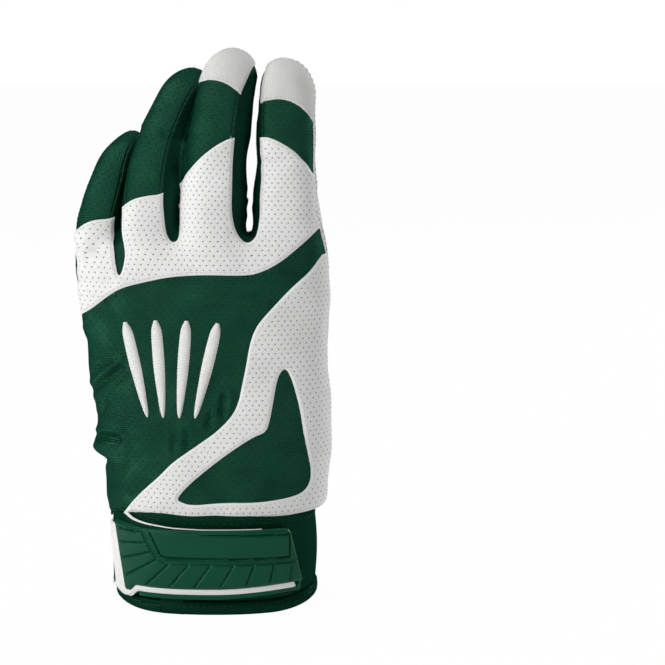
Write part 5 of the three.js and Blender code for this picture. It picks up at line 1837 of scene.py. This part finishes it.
def tape_pile(name, ends, heights, off, facing, finish, body, node, **values):
    """Hooks or loops over one face of a fastening tape"""
    angles, _ = arc_steps(*ends, 1.0)
    levels = np.linspace(*heights, 20)
    points = np.array([[cuff_point(angle, off, z) for z in levels] for angle in angles])
    index = np.arange(points.shape[0] * points.shape[1]).reshape(points.shape[:2])
    quads = np.stack([index[:-1, :-1], index[1:, :-1], index[1:, 1:], index[:-1, 1:]], -1).reshape(-1, 4)
    quads = quads if facing > 0 else quads[:, ::-1]
    obj = make_mesh(name, points.reshape(-1, 3), quads, {}, (finish,), False)
    with_tree(obj, PILE, Finish=FINISH[finish], **values)
    obj.data.shade_smooth()
    fitted(obj, body, "hook_and_loop", node)


def make_tapes():
    patch = (back_angle(FASTENER["root"]), back_angle(STRAP["tip"] - FASTENER["margin"]))
    heights = (STRAP["low"] + FASTENER["margin"], STRAP["high"] - FASTENER["margin"])
    ground = FASTENER["thickness"] / 2
    filament = {"Radius": (ground - 0.03) * MM, "Filament": FASTENER["filament"] * MM}
    wrapped("loop_tape", *patch, *heights, 0, ground, lambda a: GAP, ("loops",), "glove", "hook_and_loop",
            ("loop_patch",), radius=0.2)
    tape_pile("loop_tape_loops", patch, heights, GAP + ground, 1, "loops", "glove", "loop_patch",
              Spacing=0.75 * MM, Bend=math.pi, Spin=2 * math.pi, **filament)
    hook_lift = 2 * GAP + FASTENER["thickness"]
    wrapped("hook_tape", *patch, *heights, ground, 2 * ground, lambda a: hook_lift, ("hooks",), "strap",
            "hook_and_loop", ("hook_patch",), radius=0.2)
    tape_pile("hook_tape_hooks", patch, heights, hook_lift + ground, -1, "hooks", "strap", "hook_patch",
              Spacing=0.95 * MM, Bend=math.radians(150), Spin=0.5, **filament)


def make_tab():
    inner, tip = STRAP["thickness"] + GAP, TAB["tip"]
    wrapped("tab_white_trim", trim_start, slanted(tip - TAB["trim_tip"], tip - TAB["slant"] - 4), trim_low,
            trim_high, inner - 0.2, inner + 0.75, strap_lift, ("trim",), "strap", "trim", ("tab_trim",),
            (0.8, 0.8), 0.5)
    wrapped("tab_moulded_face", slanted(*TAB["root"]), tab_tip, tab_low, lambda a: tab_top(a) + 0.2,
            inner + 0.1, inner + TAB["thickness"], strap_lift, ("rubber",), "strap", "tab", ("tab_face",),
            (0.36, 0.36), 0.7, tab_relief)
    wrapped("tab_moulded_lip", back_angle(TAB["lip_root"]), slanted(tip - 0.5, tip - 0.1), lip_low, lip_high,
            inner - 0.1, inner + 0.5, strap_lift, ("rubber",), "strap", "tab", ("tab_face",), (0.8, 0.4), 0.4)


def make_strap():
    root, tip = STRAP["root"], back_angle(STRAP["tip"])
    anchor_end = root - GAP / (CUFF["width"] / 2)
    anchor_start = anchor_end - STRAP["anchor_reach"] / (CUFF["width"] / 2)
    wrapped("strap_anchor_webbing", anchor_start, anchor_end, STRAP["low"], STRAP["high"], 0,
            STRAP["thickness"], strap_lift, ("cuff",), "glove", "cuff", ("strap_anchor",))
    wrapped("strap_webbing", root, tip, STRAP["low"], strap_top, 0, STRAP["thickness"], strap_lift,
            ("cuff",), "strap", "cuff", ("strap_band",))
    make_tapes()
    make_tab()
    bound_edge()
    lines = [cuff_line(lambda a: strap_lift(a) + STRAP["thickness"] + 0.1, lambda a: z, anchor_start + 0.05,
                       anchor_end - 0.05) for z in (STRAP["low"] + 1.8, STRAP["high"] - 1.8)]
    sewn("anchor_stitching", lines, 2.4, 1.8, 0.36, "green_thread")


make_strap()
